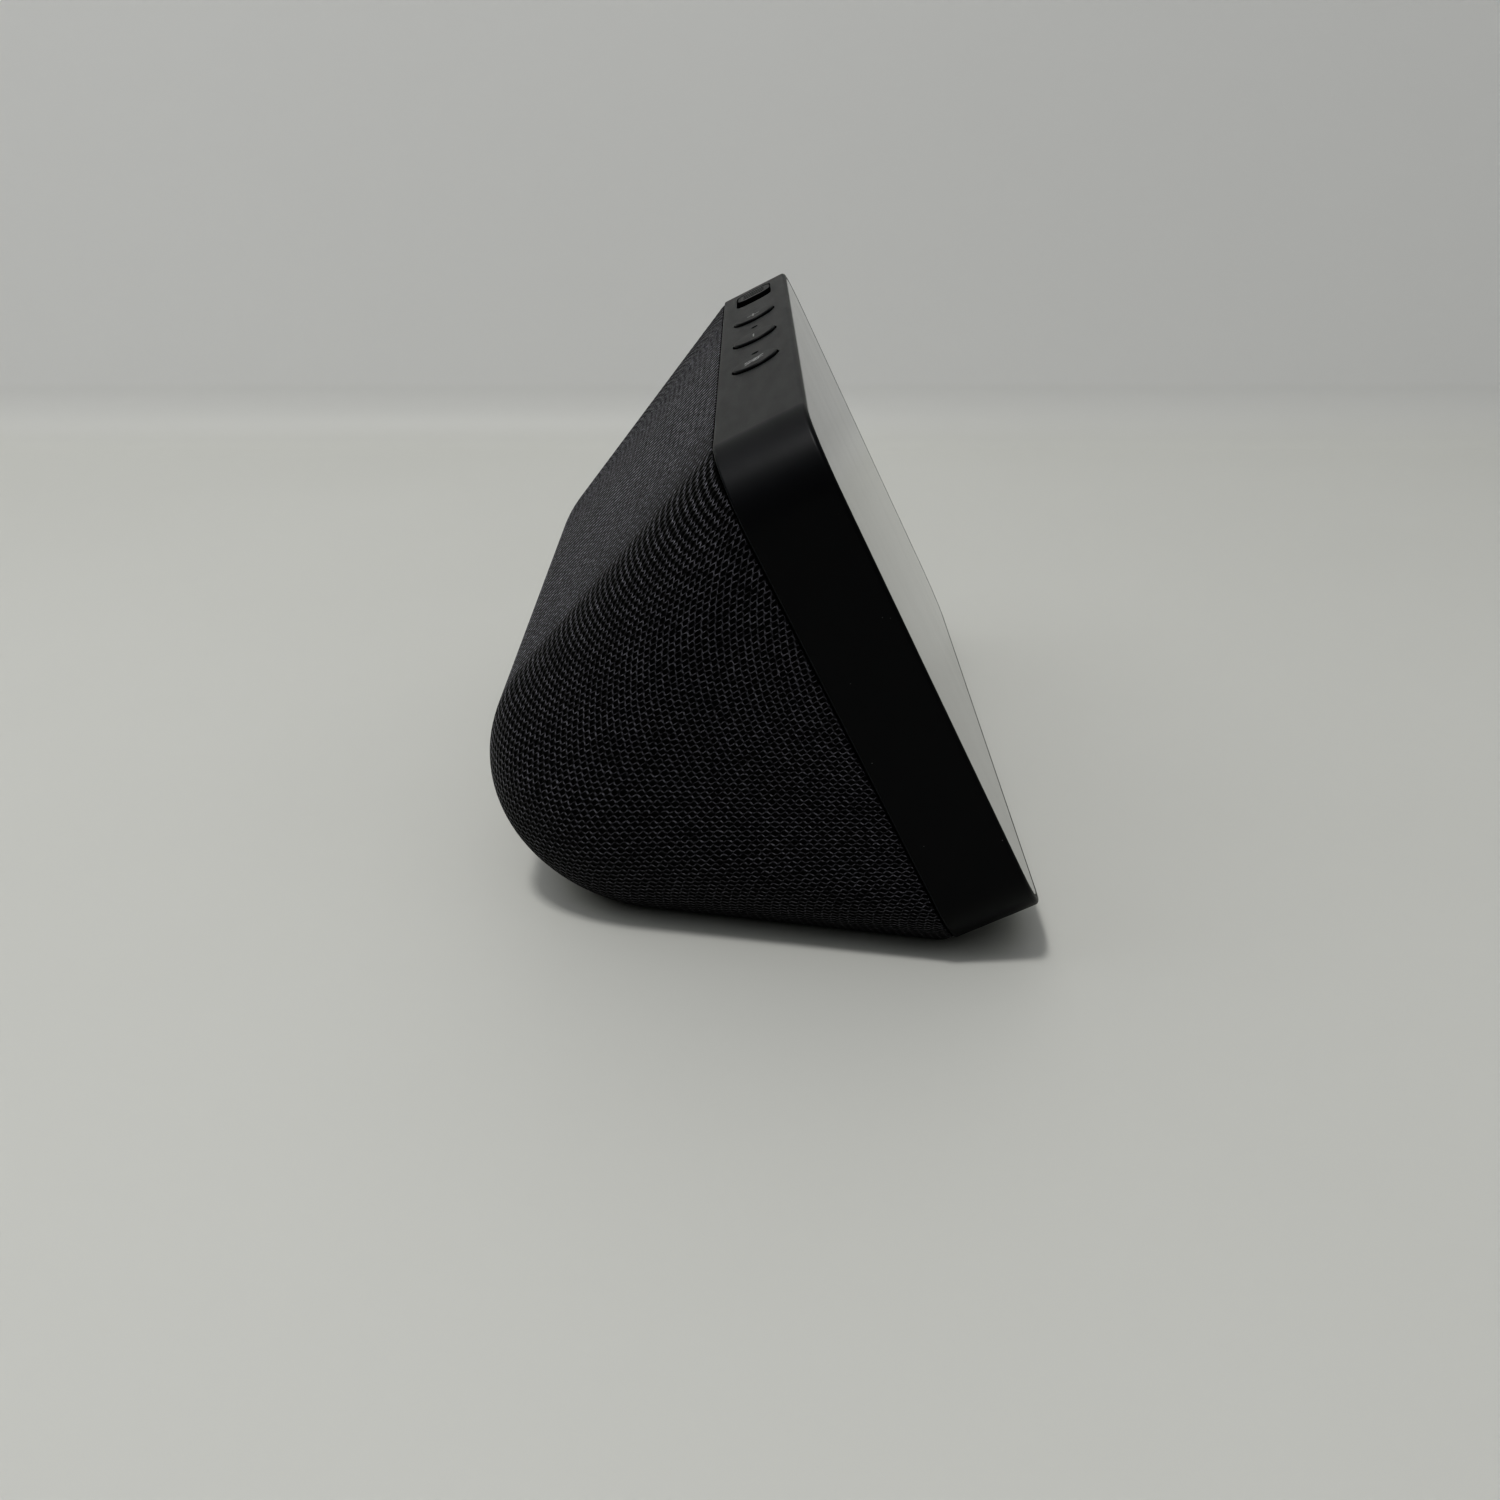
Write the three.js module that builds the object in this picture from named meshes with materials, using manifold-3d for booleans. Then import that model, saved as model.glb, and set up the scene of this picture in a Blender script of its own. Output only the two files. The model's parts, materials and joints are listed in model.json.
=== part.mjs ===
// Compact smart speaker with a tilted touch display: a plastic frame with a glass front, a knitted
// fabric body that tapers to a rounded nose behind it, a shutter slider and three buttons on top.
// Millimetres, +Z up. The display faces -Y, its left end is -X. The origin is the middle of the
// footprint, on the surface that the object stands on.
import * as THREE from 'three';
import { ConvexGeometry } from 'three/addons/geometries/ConvexGeometry.js';
import { mergeVertices } from 'three/addons/utils/BufferGeometryUtils.js';
import Module from 'manifold-3d';

const wasm = await Module();
wasm.setup();

// Driving dimensions -----------------------------------------------------------------------------
const FRAME_WIDTH = 147;           // display frame, left to right
const FRAME_HEIGHT = 86;           // display frame, measured along its sloping face
const FRAME_DEPTH = 14.05;         // display frame, back edge to front edge
const FRAME_CORNER = 11.3;         // corner radius of the frame's outline
const FRAME_WALL = 2.2;
const DISPLAY_TILT = 26.2;         // degrees that the display leans back from upright
const FRAME_LIFT = 1.0;            // frame's lower rear edge above the table
const FABRIC_LIFT = 0.6;           // underside of the fabric above the table
const TOTAL_DEPTH = 86.7;          // front edge of the frame to the back of the nose
const GAP = 0.3;                   // clearance between neighbouring pieces

const NOSE_HALF_BAR = 49;          // straight part of the nose, each side of the middle
const NOSE_END = 17.5;             // length of the rounded end of the nose
const NOSE_RADIUS_Y = 30.2;
const NOSE_RADIUS_Z = 26.6;
const NOSE_HEIGHT = 23.6;          // nose axis above the frame's lower rear edge
const FABRIC_THICKNESS = 1.0;
const SHELL_THICKNESS = 2.0;
const FABRIC_INSET = 0.35;         // fabric edge inside the frame's outline
const KEEL_HALF_WIDTH = 66;        // flat underside of the body, beside the frame
const KEEL_START = 2.5;            // where the flat underside starts behind the frame's lower edge

const TOP_FEATURE_LINE = 6.9;      // buttons, microphones and shutter: distance from frame's back edge
const BUTTON_PLACES = { mic_off: -18.3, volume_down: 4.3, volume_up: 26.2 };
const BUTTON_RADIUS = 3.95;
const BUTTON_PROUD = 0.45;
const MIC_PLACES = { left: -10.3, right: 15.1 };
const SHUTTER_SLOT = { start: 44.7, end: 59.9, width: 7.6, depth: 1.3, corner: 1.8 };
const SHUTTER_STEM = { start: 54.3, end: 57.3, back: 5.8, front: 8.0 };
const SHUTTER_TRAVEL = 6.8;
const CAMERA_PLACE = { u: 55.8, v: 78.9 };
const SENSOR_U = 42;               // light sensor, level with the camera

const SOCKET_X = -34;
const SOCKET_HEIGHT = 14;          // above the frame's lower rear edge
const DRIVER_TILT = 20;            // degrees that the loudspeaker's axis points above level
const DRIVER_RADIUS = 22.3;
const DRIVER_PLACE = { y: 55.5, z: 35.3 };

const CORNER_STEPS = 6;            // facets of each quarter circle of an outline
const ROUND_SIDES = 24;

// Where the sloping display and the body stand ------------------------------------------------------
const tilt = THREE.MathUtils.degToRad(DISPLAY_TILT);
const frontEdge = [[0, FRAME_DEPTH - 0.7], [0.2, FRAME_DEPTH - 0.2], [0.7, FRAME_DEPTH]]; // [inset, w]
const reachOf = ([inset, w]) => w * Math.cos(tilt) - inset * Math.sin(tilt);
const frameReach = Math.max(...frontEdge.map(reachOf));
const lowerRearEdge = new THREE.Vector3(0, frameReach - TOTAL_DEPTH / 2, FRAME_LIFT);
const noseY = TOTAL_DEPTH - frameReach - NOSE_RADIUS_Y;
const undersideZ = FABRIC_LIFT - FRAME_LIFT;

// Inside displayGroup x runs along the display, y up its face and z out of its front.
const displayGroup = new THREE.Group();
displayGroup.position.copy(lowerRearEdge);
displayGroup.rotation.x = Math.PI / 2 - tilt;

// Inside bodyGroup the axes are level, and the origin is the frame's lower rear edge.
const bodyGroup = new THREE.Group();
bodyGroup.position.copy(lowerRearEdge);

// Inside driverGroup z is the loudspeaker's axis, and z = 0 is the front of its mounting flange.
const driverGroup = new THREE.Group();
driverGroup.position.set(0, DRIVER_PLACE.y, DRIVER_PLACE.z);
driverGroup.rotation.x = THREE.MathUtils.degToRad(DRIVER_TILT - 90);
bodyGroup.add(driverGroup);

const model = new THREE.Group();
model.add(displayGroup, bodyGroup);

// Materials ----------------------------------------------------------------------------------------
const finish = (color, roughness, metalness = 0) => () =>
  new THREE.MeshStandardMaterial({ color, roughness, metalness });
const blackPlastic = finish(0x17181a, 0.55);
const glossBlack = finish(0x08090b, 0.12);
const charcoalKnit = finish(0x25262b, 0.95);
const whitePlastic = finish(0xd8d8d4, 0.5);
const greenBoard = finish(0x1d5a3a, 0.6);
const steel = finish(0x9b9da0, 0.35, 1);
const darkSteel = finish(0x4a4c50, 0.45, 1);
const brass = finish(0xb7923f, 0.35, 1);
const rubber = finish(0x1e1e1f, 0.9);
const amberFilm = finish(0xa8672a, 0.5);
const paper = finish(0x2b2b2c, 0.9);

function addPiece(group, name, geometry, material) {
  const mesh = new THREE.Mesh(geometry, material());
  mesh.name = name;
  group.add(mesh);
  return mesh;
}

// Solids -------------------------------------------------------------------------------------------
function closedGeometry(positions, indices) {
  const geometry = new THREE.BufferGeometry();
  geometry.setAttribute('position', new THREE.Float32BufferAttribute(positions, 3));
  geometry.setIndex(indices);
  return geometry;
}

function signedVolume(geometry) {
  const p = geometry.attributes.position;
  const index = geometry.index.array;
  const [a, b, c] = [new THREE.Vector3(), new THREE.Vector3(), new THREE.Vector3()];
  let volume = 0;
  for (let i = 0; i < index.length; i += 3) {
    a.fromBufferAttribute(p, index[i]);
    b.fromBufferAttribute(p, index[i + 1]);
    c.fromBufferAttribute(p, index[i + 2]);
    volume += a.dot(b.cross(c)) / 6;
  }
  return volume;
}

// Shared vertices merged and every face turned outwards, as the boolean library needs.
function tidy(geometry) {
  let clean = geometry.clone();
  clean.deleteAttribute('normal');
  clean.deleteAttribute('uv');
  clean = mergeVertices(clean, 1e-4);
  if (signedVolume(clean) < 0) clean.index.array.reverse();
  return clean;
}

function solid(geometry) {
  const clean = tidy(geometry);
  return new wasm.Manifold(new wasm.Mesh({
    numProp: 3,
    vertProperties: Float32Array.from(clean.attributes.position.array),
    triVerts: Uint32Array.from(clean.index.array),
  }));
}

function geometryOf(manifold) {
  const mesh = manifold.getMesh();
  return closedGeometry(Array.from(mesh.vertProperties), Array.from(mesh.triVerts));
}

function cut(base, ...tools) {
  let result = solid(base);
  for (const tool of tools) result = result.subtract(solid(tool));
  return geometryOf(result);
}

function join(...pieces) {
  let result = solid(pieces[0]);
  for (const piece of pieces.slice(1)) result = result.add(solid(piece));
  return geometryOf(result);
}

function common(...pieces) {
  let result = solid(pieces[0]);
  for (const piece of pieces.slice(1)) result = result.intersect(solid(piece));
  return geometryOf(result);
}

// A box from its lowest to its highest corner.
function block(low, high) {
  const size = high.map((value, i) => value - low[i]);
  const geometry = new THREE.BoxGeometry(...size);
  geometry.translate(...low.map((value, i) => value + size[i] / 2));
  return geometry;
}

// A round rod of the given radius between two points on one of the axes' directions.
function rod(radius, from, to, sides = ROUND_SIDES) {
  const start = new THREE.Vector3(...from);
  const along = new THREE.Vector3(...to).sub(start);
  const geometry = new THREE.CylinderGeometry(radius, radius, along.length(), sides);
  geometry.translate(0, along.length() / 2, 0);
  const turn = new THREE.Quaternion().setFromUnitVectors(new THREE.Vector3(0, 1, 0), along.normalize());
  geometry.applyQuaternion(turn);
  geometry.translate(...from);
  return geometry;
}

// A solid of revolution about z from [radius, z] points; the profile closes on itself or on the axis.
function turned(profile, sides = ROUND_SIDES) {
  const onAxis = profile[0][0] === 0;
  const points = profile.map(([radius, z]) => new THREE.Vector2(radius, z));
  if (!onAxis) points.push(points[0].clone());
  const geometry = new THREE.LatheGeometry(points, sides);
  geometry.rotateX(Math.PI / 2);
  return tidy(geometry);
}

// Points of a rounded rectangle about the origin, anticlockwise.
function roundedLoop(width, height, radius) {
  const points = [];
  for (let corner = 0; corner < 4; corner += 1) {
    const signX = corner === 0 || corner === 3 ? 1 : -1;
    const signY = corner < 2 ? 1 : -1;
    for (let step = 0; step <= CORNER_STEPS; step += 1) {
      const angle = (corner + step / CORNER_STEPS) * Math.PI / 2;
      points.push(new THREE.Vector2(
        signX * (width / 2 - radius) + radius * Math.cos(angle),
        signY * (height / 2 - radius) + radius * Math.sin(angle),
      ));
    }
  }
  return points;
}

// A stack of rounded rectangles: sections are [inset, z]. A ring closes on itself, a plate is capped.
function stacked(width, height, radius, sections, isRing = false) {
  const positions = [];
  const indices = [];
  for (const [inset, z] of sections) {
    const corner = Math.max(radius - inset, 0.4);
    const loop = roundedLoop(width - 2 * inset, height - 2 * inset, corner);
    for (const p of loop) positions.push(p.x, p.y, z);
  }
  const count = 4 * (CORNER_STEPS + 1);
  const bands = isRing ? sections.length : sections.length - 1;
  for (let band = 0; band < bands; band += 1) {
    const a = band * count;
    const b = ((band + 1) % sections.length) * count;
    for (let i = 0; i < count; i += 1) {
      const j = (i + 1) % count;
      indices.push(a + i, a + j, b + i, b + i, a + j, b + j);
    }
  }
  if (!isRing) {
    const last = (sections.length - 1) * count;
    for (let i = 1; i < count - 1; i += 1) {
      indices.push(0, i + 1, i, last, last + i, last + i + 1);
    }
  }
  return closedGeometry(positions, indices);
}

// Display frame and glass ----------------------------------------------------------------------------
const faceMiddle = FRAME_HEIGHT / 2;
const rimWidth = 1.2;
const glassFront = FRAME_DEPTH - 0.1;
const glassBack = FRAME_DEPTH - 1.2;
const adhesiveFront = glassBack - GAP;
const adhesiveBack = adhesiveFront - 0.4;
const ledgeFront = adhesiveBack - GAP;
const ledgeBack = ledgeFront - 2.0;
const ledgeInset = 4.2;
const topSurface = FRAME_HEIGHT;
const topInside = FRAME_HEIGHT - FRAME_WALL;

const SCREW_POST = { offset: 67.6, heights: [20, 64], radius: 2.3, pilot: 1.3, ribHalf: 1.4 };
const screwPosts = [-1, 1].flatMap((side) =>
  SCREW_POST.heights.map((v) => ({ u: side * SCREW_POST.offset, v, side })));
const screwClearance = (u, v, from, to) => rod(SCREW_POST.pilot, [u, v, from], [u, v, to], 12);

function shutterPocket(from, to) {
  const { start, end, width, corner } = SHUTTER_SLOT;
  const shape = stacked(end - start, width, corner, [[0, 0], [0, to - from]]);
  shape.rotateX(-Math.PI / 2);
  shape.translate((start + end) / 2, from, TOP_FEATURE_LINE);
  return shape;
}

function makeFrame() {
  const ring = stacked(FRAME_WIDTH, FRAME_HEIGHT, FRAME_CORNER, [
    [0.4, 0], [0, 0.4], ...frontEdge,
    [rimWidth, FRAME_DEPTH], [rimWidth, ledgeFront], [ledgeInset, ledgeFront], [ledgeInset, ledgeBack],
    [FRAME_WALL, ledgeBack], [FRAME_WALL, 0],
  ], true);
  ring.translate(0, faceMiddle, 0);
  const postBack = 1.6;
  const postFront = ledgeBack + 0.5;
  const wallMiddle = FRAME_WIDTH / 2 - 1.5;
  const posts = screwPosts.flatMap(({ u, v, side }) => {
    const ends = [u, side * wallMiddle].sort((a, b) => a - b);
    return [
      rod(SCREW_POST.radius, [u, v, postBack], [u, v, postFront]),
      block([ends[0], v - SCREW_POST.ribHalf, postBack], [ends[1], v + SCREW_POST.ribHalf, postFront]),
    ];
  });
  const pilots = screwPosts.map(({ u, v }) => screwClearance(u, v, 1, 8));
  const above = topSurface + 2;
  const buttonHoles = Object.values(BUTTON_PLACES).map((u) =>
    rod(BUTTON_RADIUS + GAP, [u, topInside - 3.8, TOP_FEATURE_LINE], [u, above, TOP_FEATURE_LINE]));
  const micHoles = Object.values(MIC_PLACES).map((u) =>
    rod(0.6, [u, topInside - 1, TOP_FEATURE_LINE], [u, above, TOP_FEATURE_LINE], 10));
  const knobPocket = shutterPocket(topSurface - SHUTTER_SLOT.depth, above);
  const stemSlot = block(
    [SHUTTER_STEM.start - SHUTTER_TRAVEL - GAP, topInside - 1, SHUTTER_STEM.back - GAP],
    [SHUTTER_STEM.end + GAP, topSurface, SHUTTER_STEM.front + GAP]);
  return cut(join(ring, ...posts), ...pilots, ...buttonHoles, ...micHoles, knobPocket, stemSlot);
}

addPiece(displayGroup, 'display_frame', makeFrame(), blackPlastic);

function facePlate(inset, sections, isRing = false) {
  const width = FRAME_WIDTH - 2 * inset;
  const height = FRAME_HEIGHT - 2 * inset;
  const plate = stacked(width, height, FRAME_CORNER - inset, sections, isRing);
  plate.translate(0, faceMiddle, 0);
  return plate;
}

const glassInset = rimWidth + GAP;
addPiece(displayGroup, 'cover_glass', facePlate(glassInset, [
  [0, glassBack], [0, glassFront - 0.3], [0.3, glassFront],
]), glossBlack);
addPiece(displayGroup, 'glass_adhesive', facePlate(glassInset, [
  [0.2, adhesiveBack], [0.2, adhesiveFront], [2.4, adhesiveFront], [2.4, adhesiveBack],
], true), rubber);

// Screen -------------------------------------------------------------------------------------------
const SCREEN = { width: 128, height: 67, middle: 41.5 };    // middle: up the face
// A plate on the screen's centre, larger than the screen by grow on each side.
function screenPlate(grow, from, to, corner = 1) {
  const plate = stacked(SCREEN.width + 2 * grow, SCREEN.height + 2 * grow, corner, [[0, from], [0, to]]);
  plate.translate(0, SCREEN.middle, 0);
  return plate;
}
const panelFront = glassBack - GAP;
const panelBack = panelFront - 1.4;
addPiece(displayGroup, 'lcd_panel', screenPlate(0, panelBack, panelFront), glossBlack);
const trayFront = panelBack - GAP;
const trayBack = trayFront - 2.0;
const trayFloor = trayBack + 0.6;
addPiece(displayGroup, 'backlight_tray', cut(
  screenPlate(1, trayBack, trayFront, 1.5),
  screenPlate(-1, trayFloor, trayFront + 1),
), steel);
const diffuser = screenPlate(-1 - GAP - 0.1, trayFloor + GAP, trayFront - 0.2);
addPiece(displayGroup, 'backlight_diffuser', diffuser, whitePlastic);

// Camera, light sensor and shutter --------------------------------------------------------------------
const { u: cameraU, v: cameraV } = CAMERA_PLACE;
const boardBack = 1.9;
const cameraBoardFront = boardBack + 0.8;
const cameraBoard = block([SENSOR_U - 3, 74.6, boardBack], [cameraU + 5.7, 83.2, cameraBoardFront]);
addPiece(displayGroup, 'camera_board', cameraBoard, greenBoard);
const cameraBack = cameraBoardFront + GAP;
const cameraFront = 5.6;
addPiece(displayGroup, 'camera_body', block(
  [cameraU - 4, cameraV - 4, cameraBack], [cameraU + 4, cameraV + 4, cameraFront]), blackPlastic);
const lensLength = 2.6;
const lensBack = cameraFront + GAP;
function makeLens() {
  const barrel = turned([
    [0, 0], [2, 0], [2, lensLength], [1.4, lensLength], [1.1, 1.9], [0.6, 2.1], [0, 2.2],
  ]);
  barrel.translate(cameraU, cameraV, lensBack);
  return barrel;
}
addPiece(displayGroup, 'camera_lens', makeLens(), glossBlack);
const sensorFront = cameraBack + 1;
addPiece(displayGroup, 'light_sensor', block(
  [SENSOR_U - 1, cameraV - 1, cameraBack], [SENSOR_U + 1, cameraV + 1, sensorFront]), blackPlastic);
const lightPipe = rod(
  1.2, [SENSOR_U, cameraV, sensorFront + GAP], [SENSOR_U, cameraV, glassBack - 2 * GAP], 12);
addPiece(displayGroup, 'light_pipe', lightPipe, whitePlastic);

const knobLength = 7.6;
const knobEnd = SHUTTER_SLOT.end - GAP;
const knobStart = knobEnd - knobLength;
const knobMiddle = (knobStart + knobEnd) / 2;
const knobBase = topSurface - SHUTTER_SLOT.depth + GAP;
const stemBottom = 82.3;
function makeKnob() {
  const pad = stacked(knobLength, SHUTTER_SLOT.width - 2 * GAP, 1.4, [[0, 0], [0, 0.9], [0.2, 1.1]]);
  pad.rotateX(-Math.PI / 2);
  pad.translate(knobMiddle, knobBase, TOP_FEATURE_LINE);
  const grooveHalf = 2.3;
  const grooves = [-1.8, 0, 1.8].map((u) => block(
    [knobMiddle + u - 0.25, knobBase + 0.8, TOP_FEATURE_LINE - grooveHalf],
    [knobMiddle + u + 0.25, topSurface + 1, TOP_FEATURE_LINE + grooveHalf]));
  const { start, end, back, front } = SHUTTER_STEM;
  const stem = block([start, stemBottom, back], [end, knobBase + 0.2, front]);
  return cut(join(pad, stem), ...grooves);
}
addPiece(displayGroup, 'shutter_knob', makeKnob(), blackPlastic);

// A bar under the stem, and a flag that stands in front of the lens when the shutter is closed.
const flagWidth = 6.4;
const flagStart = cameraU + SHUTTER_TRAVEL - flagWidth / 2;
const bladeFront = 9.5;
addPiece(displayGroup, 'shutter_blade', join(
  block([SHUTTER_STEM.start - 1, 81.2, 6.0], [flagStart + flagWidth, stemBottom - GAP, bladeFront]),
  block([flagStart, 77.0, lensBack + lensLength + GAP], [flagStart + flagWidth, 81.4, bladeFront]),
), whitePlastic);

// Buttons, their switches and the microphones ----------------------------------------------------------
const boardFloor = 77.2;
const boardTop = boardFloor + 1;
const switchBase = boardTop + GAP;
const switchTop = switchBase + 1.6;
const plungerTop = switchTop + 0.4;
const stemEnd = plungerTop + 0.45;
const earBottom = 82.4;
const earTop = topInside - GAP;

// A turned piece that stands up the display face (its axis along y) at place u on the top's centre line.
function standing(profile, u, sides = ROUND_SIDES) {
  const piece = turned(profile, sides);
  piece.rotateX(-Math.PI / 2);
  piece.translate(u, 0, TOP_FEATURE_LINE);
  return piece;
}

function makeButton(u) {
  const crown = topSurface + BUTTON_PROUD;
  const stem = 1.6;
  const cap = standing([
    [0, stemEnd], [stem, stemEnd], [stem, earBottom], [BUTTON_RADIUS, earBottom],
    [BUTTON_RADIUS, crown - 0.3], [BUTTON_RADIUS - 0.15, crown - 0.1], [BUTTON_RADIUS - 0.4, crown - 0.02],
    [0, crown],
  ], u, 32);
  const [reach, half] = [5.5, 2];
  const ears = block(
    [u - reach, earBottom, TOP_FEATURE_LINE - half], [u + reach, earTop, TOP_FEATURE_LINE + half]);
  return join(cap, ears);
}

function makeSwitch(u) {
  const half = 2.25;
  const body = block(
    [u - half, switchBase, TOP_FEATURE_LINE - half], [u + half, switchTop, TOP_FEATURE_LINE + half]);
  return join(body, rod(1.0, [u, switchTop - 0.2, TOP_FEATURE_LINE], [u, plungerTop, TOP_FEATURE_LINE], 12));
}

for (const [name, u] of Object.entries(BUTTON_PLACES)) {
  addPiece(displayGroup, `${name}_button`, makeButton(u), blackPlastic);
  addPiece(displayGroup, `${name}_switch`, makeSwitch(u), steel);
}
const buttonBoard = block(
  [BUTTON_PLACES.mic_off - 11.7, boardFloor, 2.6], [BUTTON_PLACES.volume_up + 11.8, boardTop, 9.6]);
addPiece(displayGroup, 'button_board', buttonBoard, greenBoard);
for (const [name, u] of Object.entries(MIC_PLACES)) {
  const capsuleTop = switchBase + 1;
  addPiece(displayGroup, `microphone_${name}`, block(
    [u - 1.9, switchBase, TOP_FEATURE_LINE - 1.4], [u + 1.9, capsuleTop, TOP_FEATURE_LINE + 1.4]), brass);
  addPiece(displayGroup, `mic_boot_${name}`, standing([
    [0.6, capsuleTop + GAP], [2, capsuleTop + GAP], [2, earTop], [0.6, earTop],
  ], u, 16), rubber);
}

// Electronics behind the screen -----------------------------------------------------------------------
const mainBoardBack = 6.2;
const mainBoardFront = 7.4;
addPiece(displayGroup, 'main_board', block([-52, 13, mainBoardBack], [52, 71, mainBoardFront]), greenBoard);
const canFront = mainBoardBack - GAP;
const canBack = canFront - 2.2;
const canWall = 0.5;
const CAN = { left: -22, right: 20, bottom: 30, top: 62 };
addPiece(displayGroup, 'shield_can', cut(
  block([CAN.left, CAN.bottom, canBack], [CAN.right, CAN.top, canFront]),
  block(
    [CAN.left + canWall, CAN.bottom + canWall, canBack + canWall],
    [CAN.right - canWall, CAN.top - canWall, canFront + 1]),
), steel);
const spreaderFront = canBack - GAP;
const heatSpreader = block(
  [CAN.left - 8, CAN.bottom - 4, spreaderFront - 1.0], [CAN.right + 8, CAN.top + 4, spreaderFront]);
addPiece(displayGroup, 'heat_spreader', heatSpreader, darkSteel);
const leadConnectors = { power: -38, speaker: 34 };
const CONNECTOR = { halfWidth: 4, bottom: 16, top: 21, back: 2.6, middle: 18.5 };
for (const [name, u] of Object.entries(leadConnectors)) {
  const { halfWidth, bottom, top, back } = CONNECTOR;
  const piece = block([u - halfWidth, bottom, back], [u + halfWidth, top, canFront]);
  addPiece(displayGroup, `${name}_connector`, piece, whitePlastic);
}
const antennaOuter = FRAME_WIDTH / 2 - FRAME_WALL - GAP;
const ANTENNA = { thickness: 0.4, bottom: 30, top: 56, back: 3, front: 8.5 };
for (const [name, side] of [['left', -1], ['right', 1]]) {
  const faces = [side * antennaOuter, side * (antennaOuter - ANTENNA.thickness)].sort((a, b) => a - b);
  addPiece(displayGroup, `wifi_antenna_${name}`, block(
    [faces[0], ANTENNA.bottom, ANTENNA.back], [faces[1], ANTENNA.top, ANTENNA.front]), amberFilm);
}

// Flat cable from the lower edge of the screen round to the back of the main board.
function makeRibbon() {
  const shape = new THREE.Shape();
  const [inner, outer] = [1.35, 1.65];
  const bendV = 5.2;
  const middle = trayBack - GAP - inner;
  shape.moveTo(bendV + 9, middle + outer);
  shape.lineTo(bendV, middle + outer);
  shape.absarc(bendV, middle, outer, Math.PI / 2, Math.PI * 1.5, false);
  shape.lineTo(bendV + 7.4, middle - outer);
  shape.lineTo(bendV + 7.4, middle - inner);
  shape.lineTo(bendV, middle - inner);
  shape.absarc(bendV, middle, inner, Math.PI * 1.5, Math.PI / 2, true);
  shape.lineTo(bendV + 9, middle + inner);
  shape.closePath();
  const width = 20;
  const ribbon = new THREE.ExtrudeGeometry(shape, { depth: width, bevelEnabled: false, curveSegments: 8 });
  // The outline's x is up the face and its y is out of the front; the extrusion runs along the display.
  ribbon.applyMatrix4(new THREE.Matrix4().makeBasis(
    new THREE.Vector3(0, 1, 0), new THREE.Vector3(0, 0, 1), new THREE.Vector3(1, 0, 0)));
  ribbon.translate(-width / 2, 0, 0);
  return ribbon;
}
addPiece(displayGroup, 'display_ribbon', makeRibbon(), amberFilm);

// Inner chassis and its screws -------------------------------------------------------------------------
const chassisBack = 0.3;
const chassisFront = 1.3;
const leadWindows = Object.values(leadConnectors).map((u) => block(
  [u - CONNECTOR.halfWidth - 3, CONNECTOR.bottom - 5, -1],
  [u + CONNECTOR.halfWidth + 3, CONNECTOR.top + 4, 3]));
addPiece(displayGroup, 'inner_chassis', cut(
  facePlate(FRAME_WALL + GAP, [[0, chassisBack], [0, chassisFront]]),
  ...leadWindows,
  ...screwPosts.map(({ u, v }) => screwClearance(u, v, -1, 3)),
), blackPlastic);

// A screw with a cross recess, along +z from the outer face of its head.
function screw(headRadius, headHeight, shankRadius, length) {
  const [reach, half] = [headRadius * 0.7, 0.25];
  const slot = block([-reach, -half, -0.1], [reach, half, 0.5]);
  const crossSlot = block([-half, -reach, -0.1], [half, reach, 0.5]);
  const body = turned([
    [0, 0], [headRadius - 0.2, 0], [headRadius, 0.2], [headRadius, headHeight], [shankRadius, headHeight],
    [shankRadius, length - 0.6], [shankRadius * 0.5, length], [0, length],
  ], 14);
  return cut(body, slot, crossSlot);
}
const chassisHead = 1.1;
screwPosts.forEach(({ u, v }, i) => {
  const piece = addPiece(displayGroup, `chassis_screw_${i + 1}`, screw(1.7, chassisHead, 1.0, 7.2), steel);
  piece.position.set(u, v, chassisBack - GAP - chassisHead);
});

// Body: the hull over the frame's back edge, the nose and the flat underside ---------------------------
// Turns a point of the sloping frame into the level axes of the body.
const toBody = (u, v, w) => new THREE.Vector3(
  u, v * Math.sin(tilt) - w * Math.cos(tilt), v * Math.cos(tilt) + w * Math.sin(tilt));

const NOSE_RINGS = 7;
const NOSE_SIDES = 28;

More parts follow.
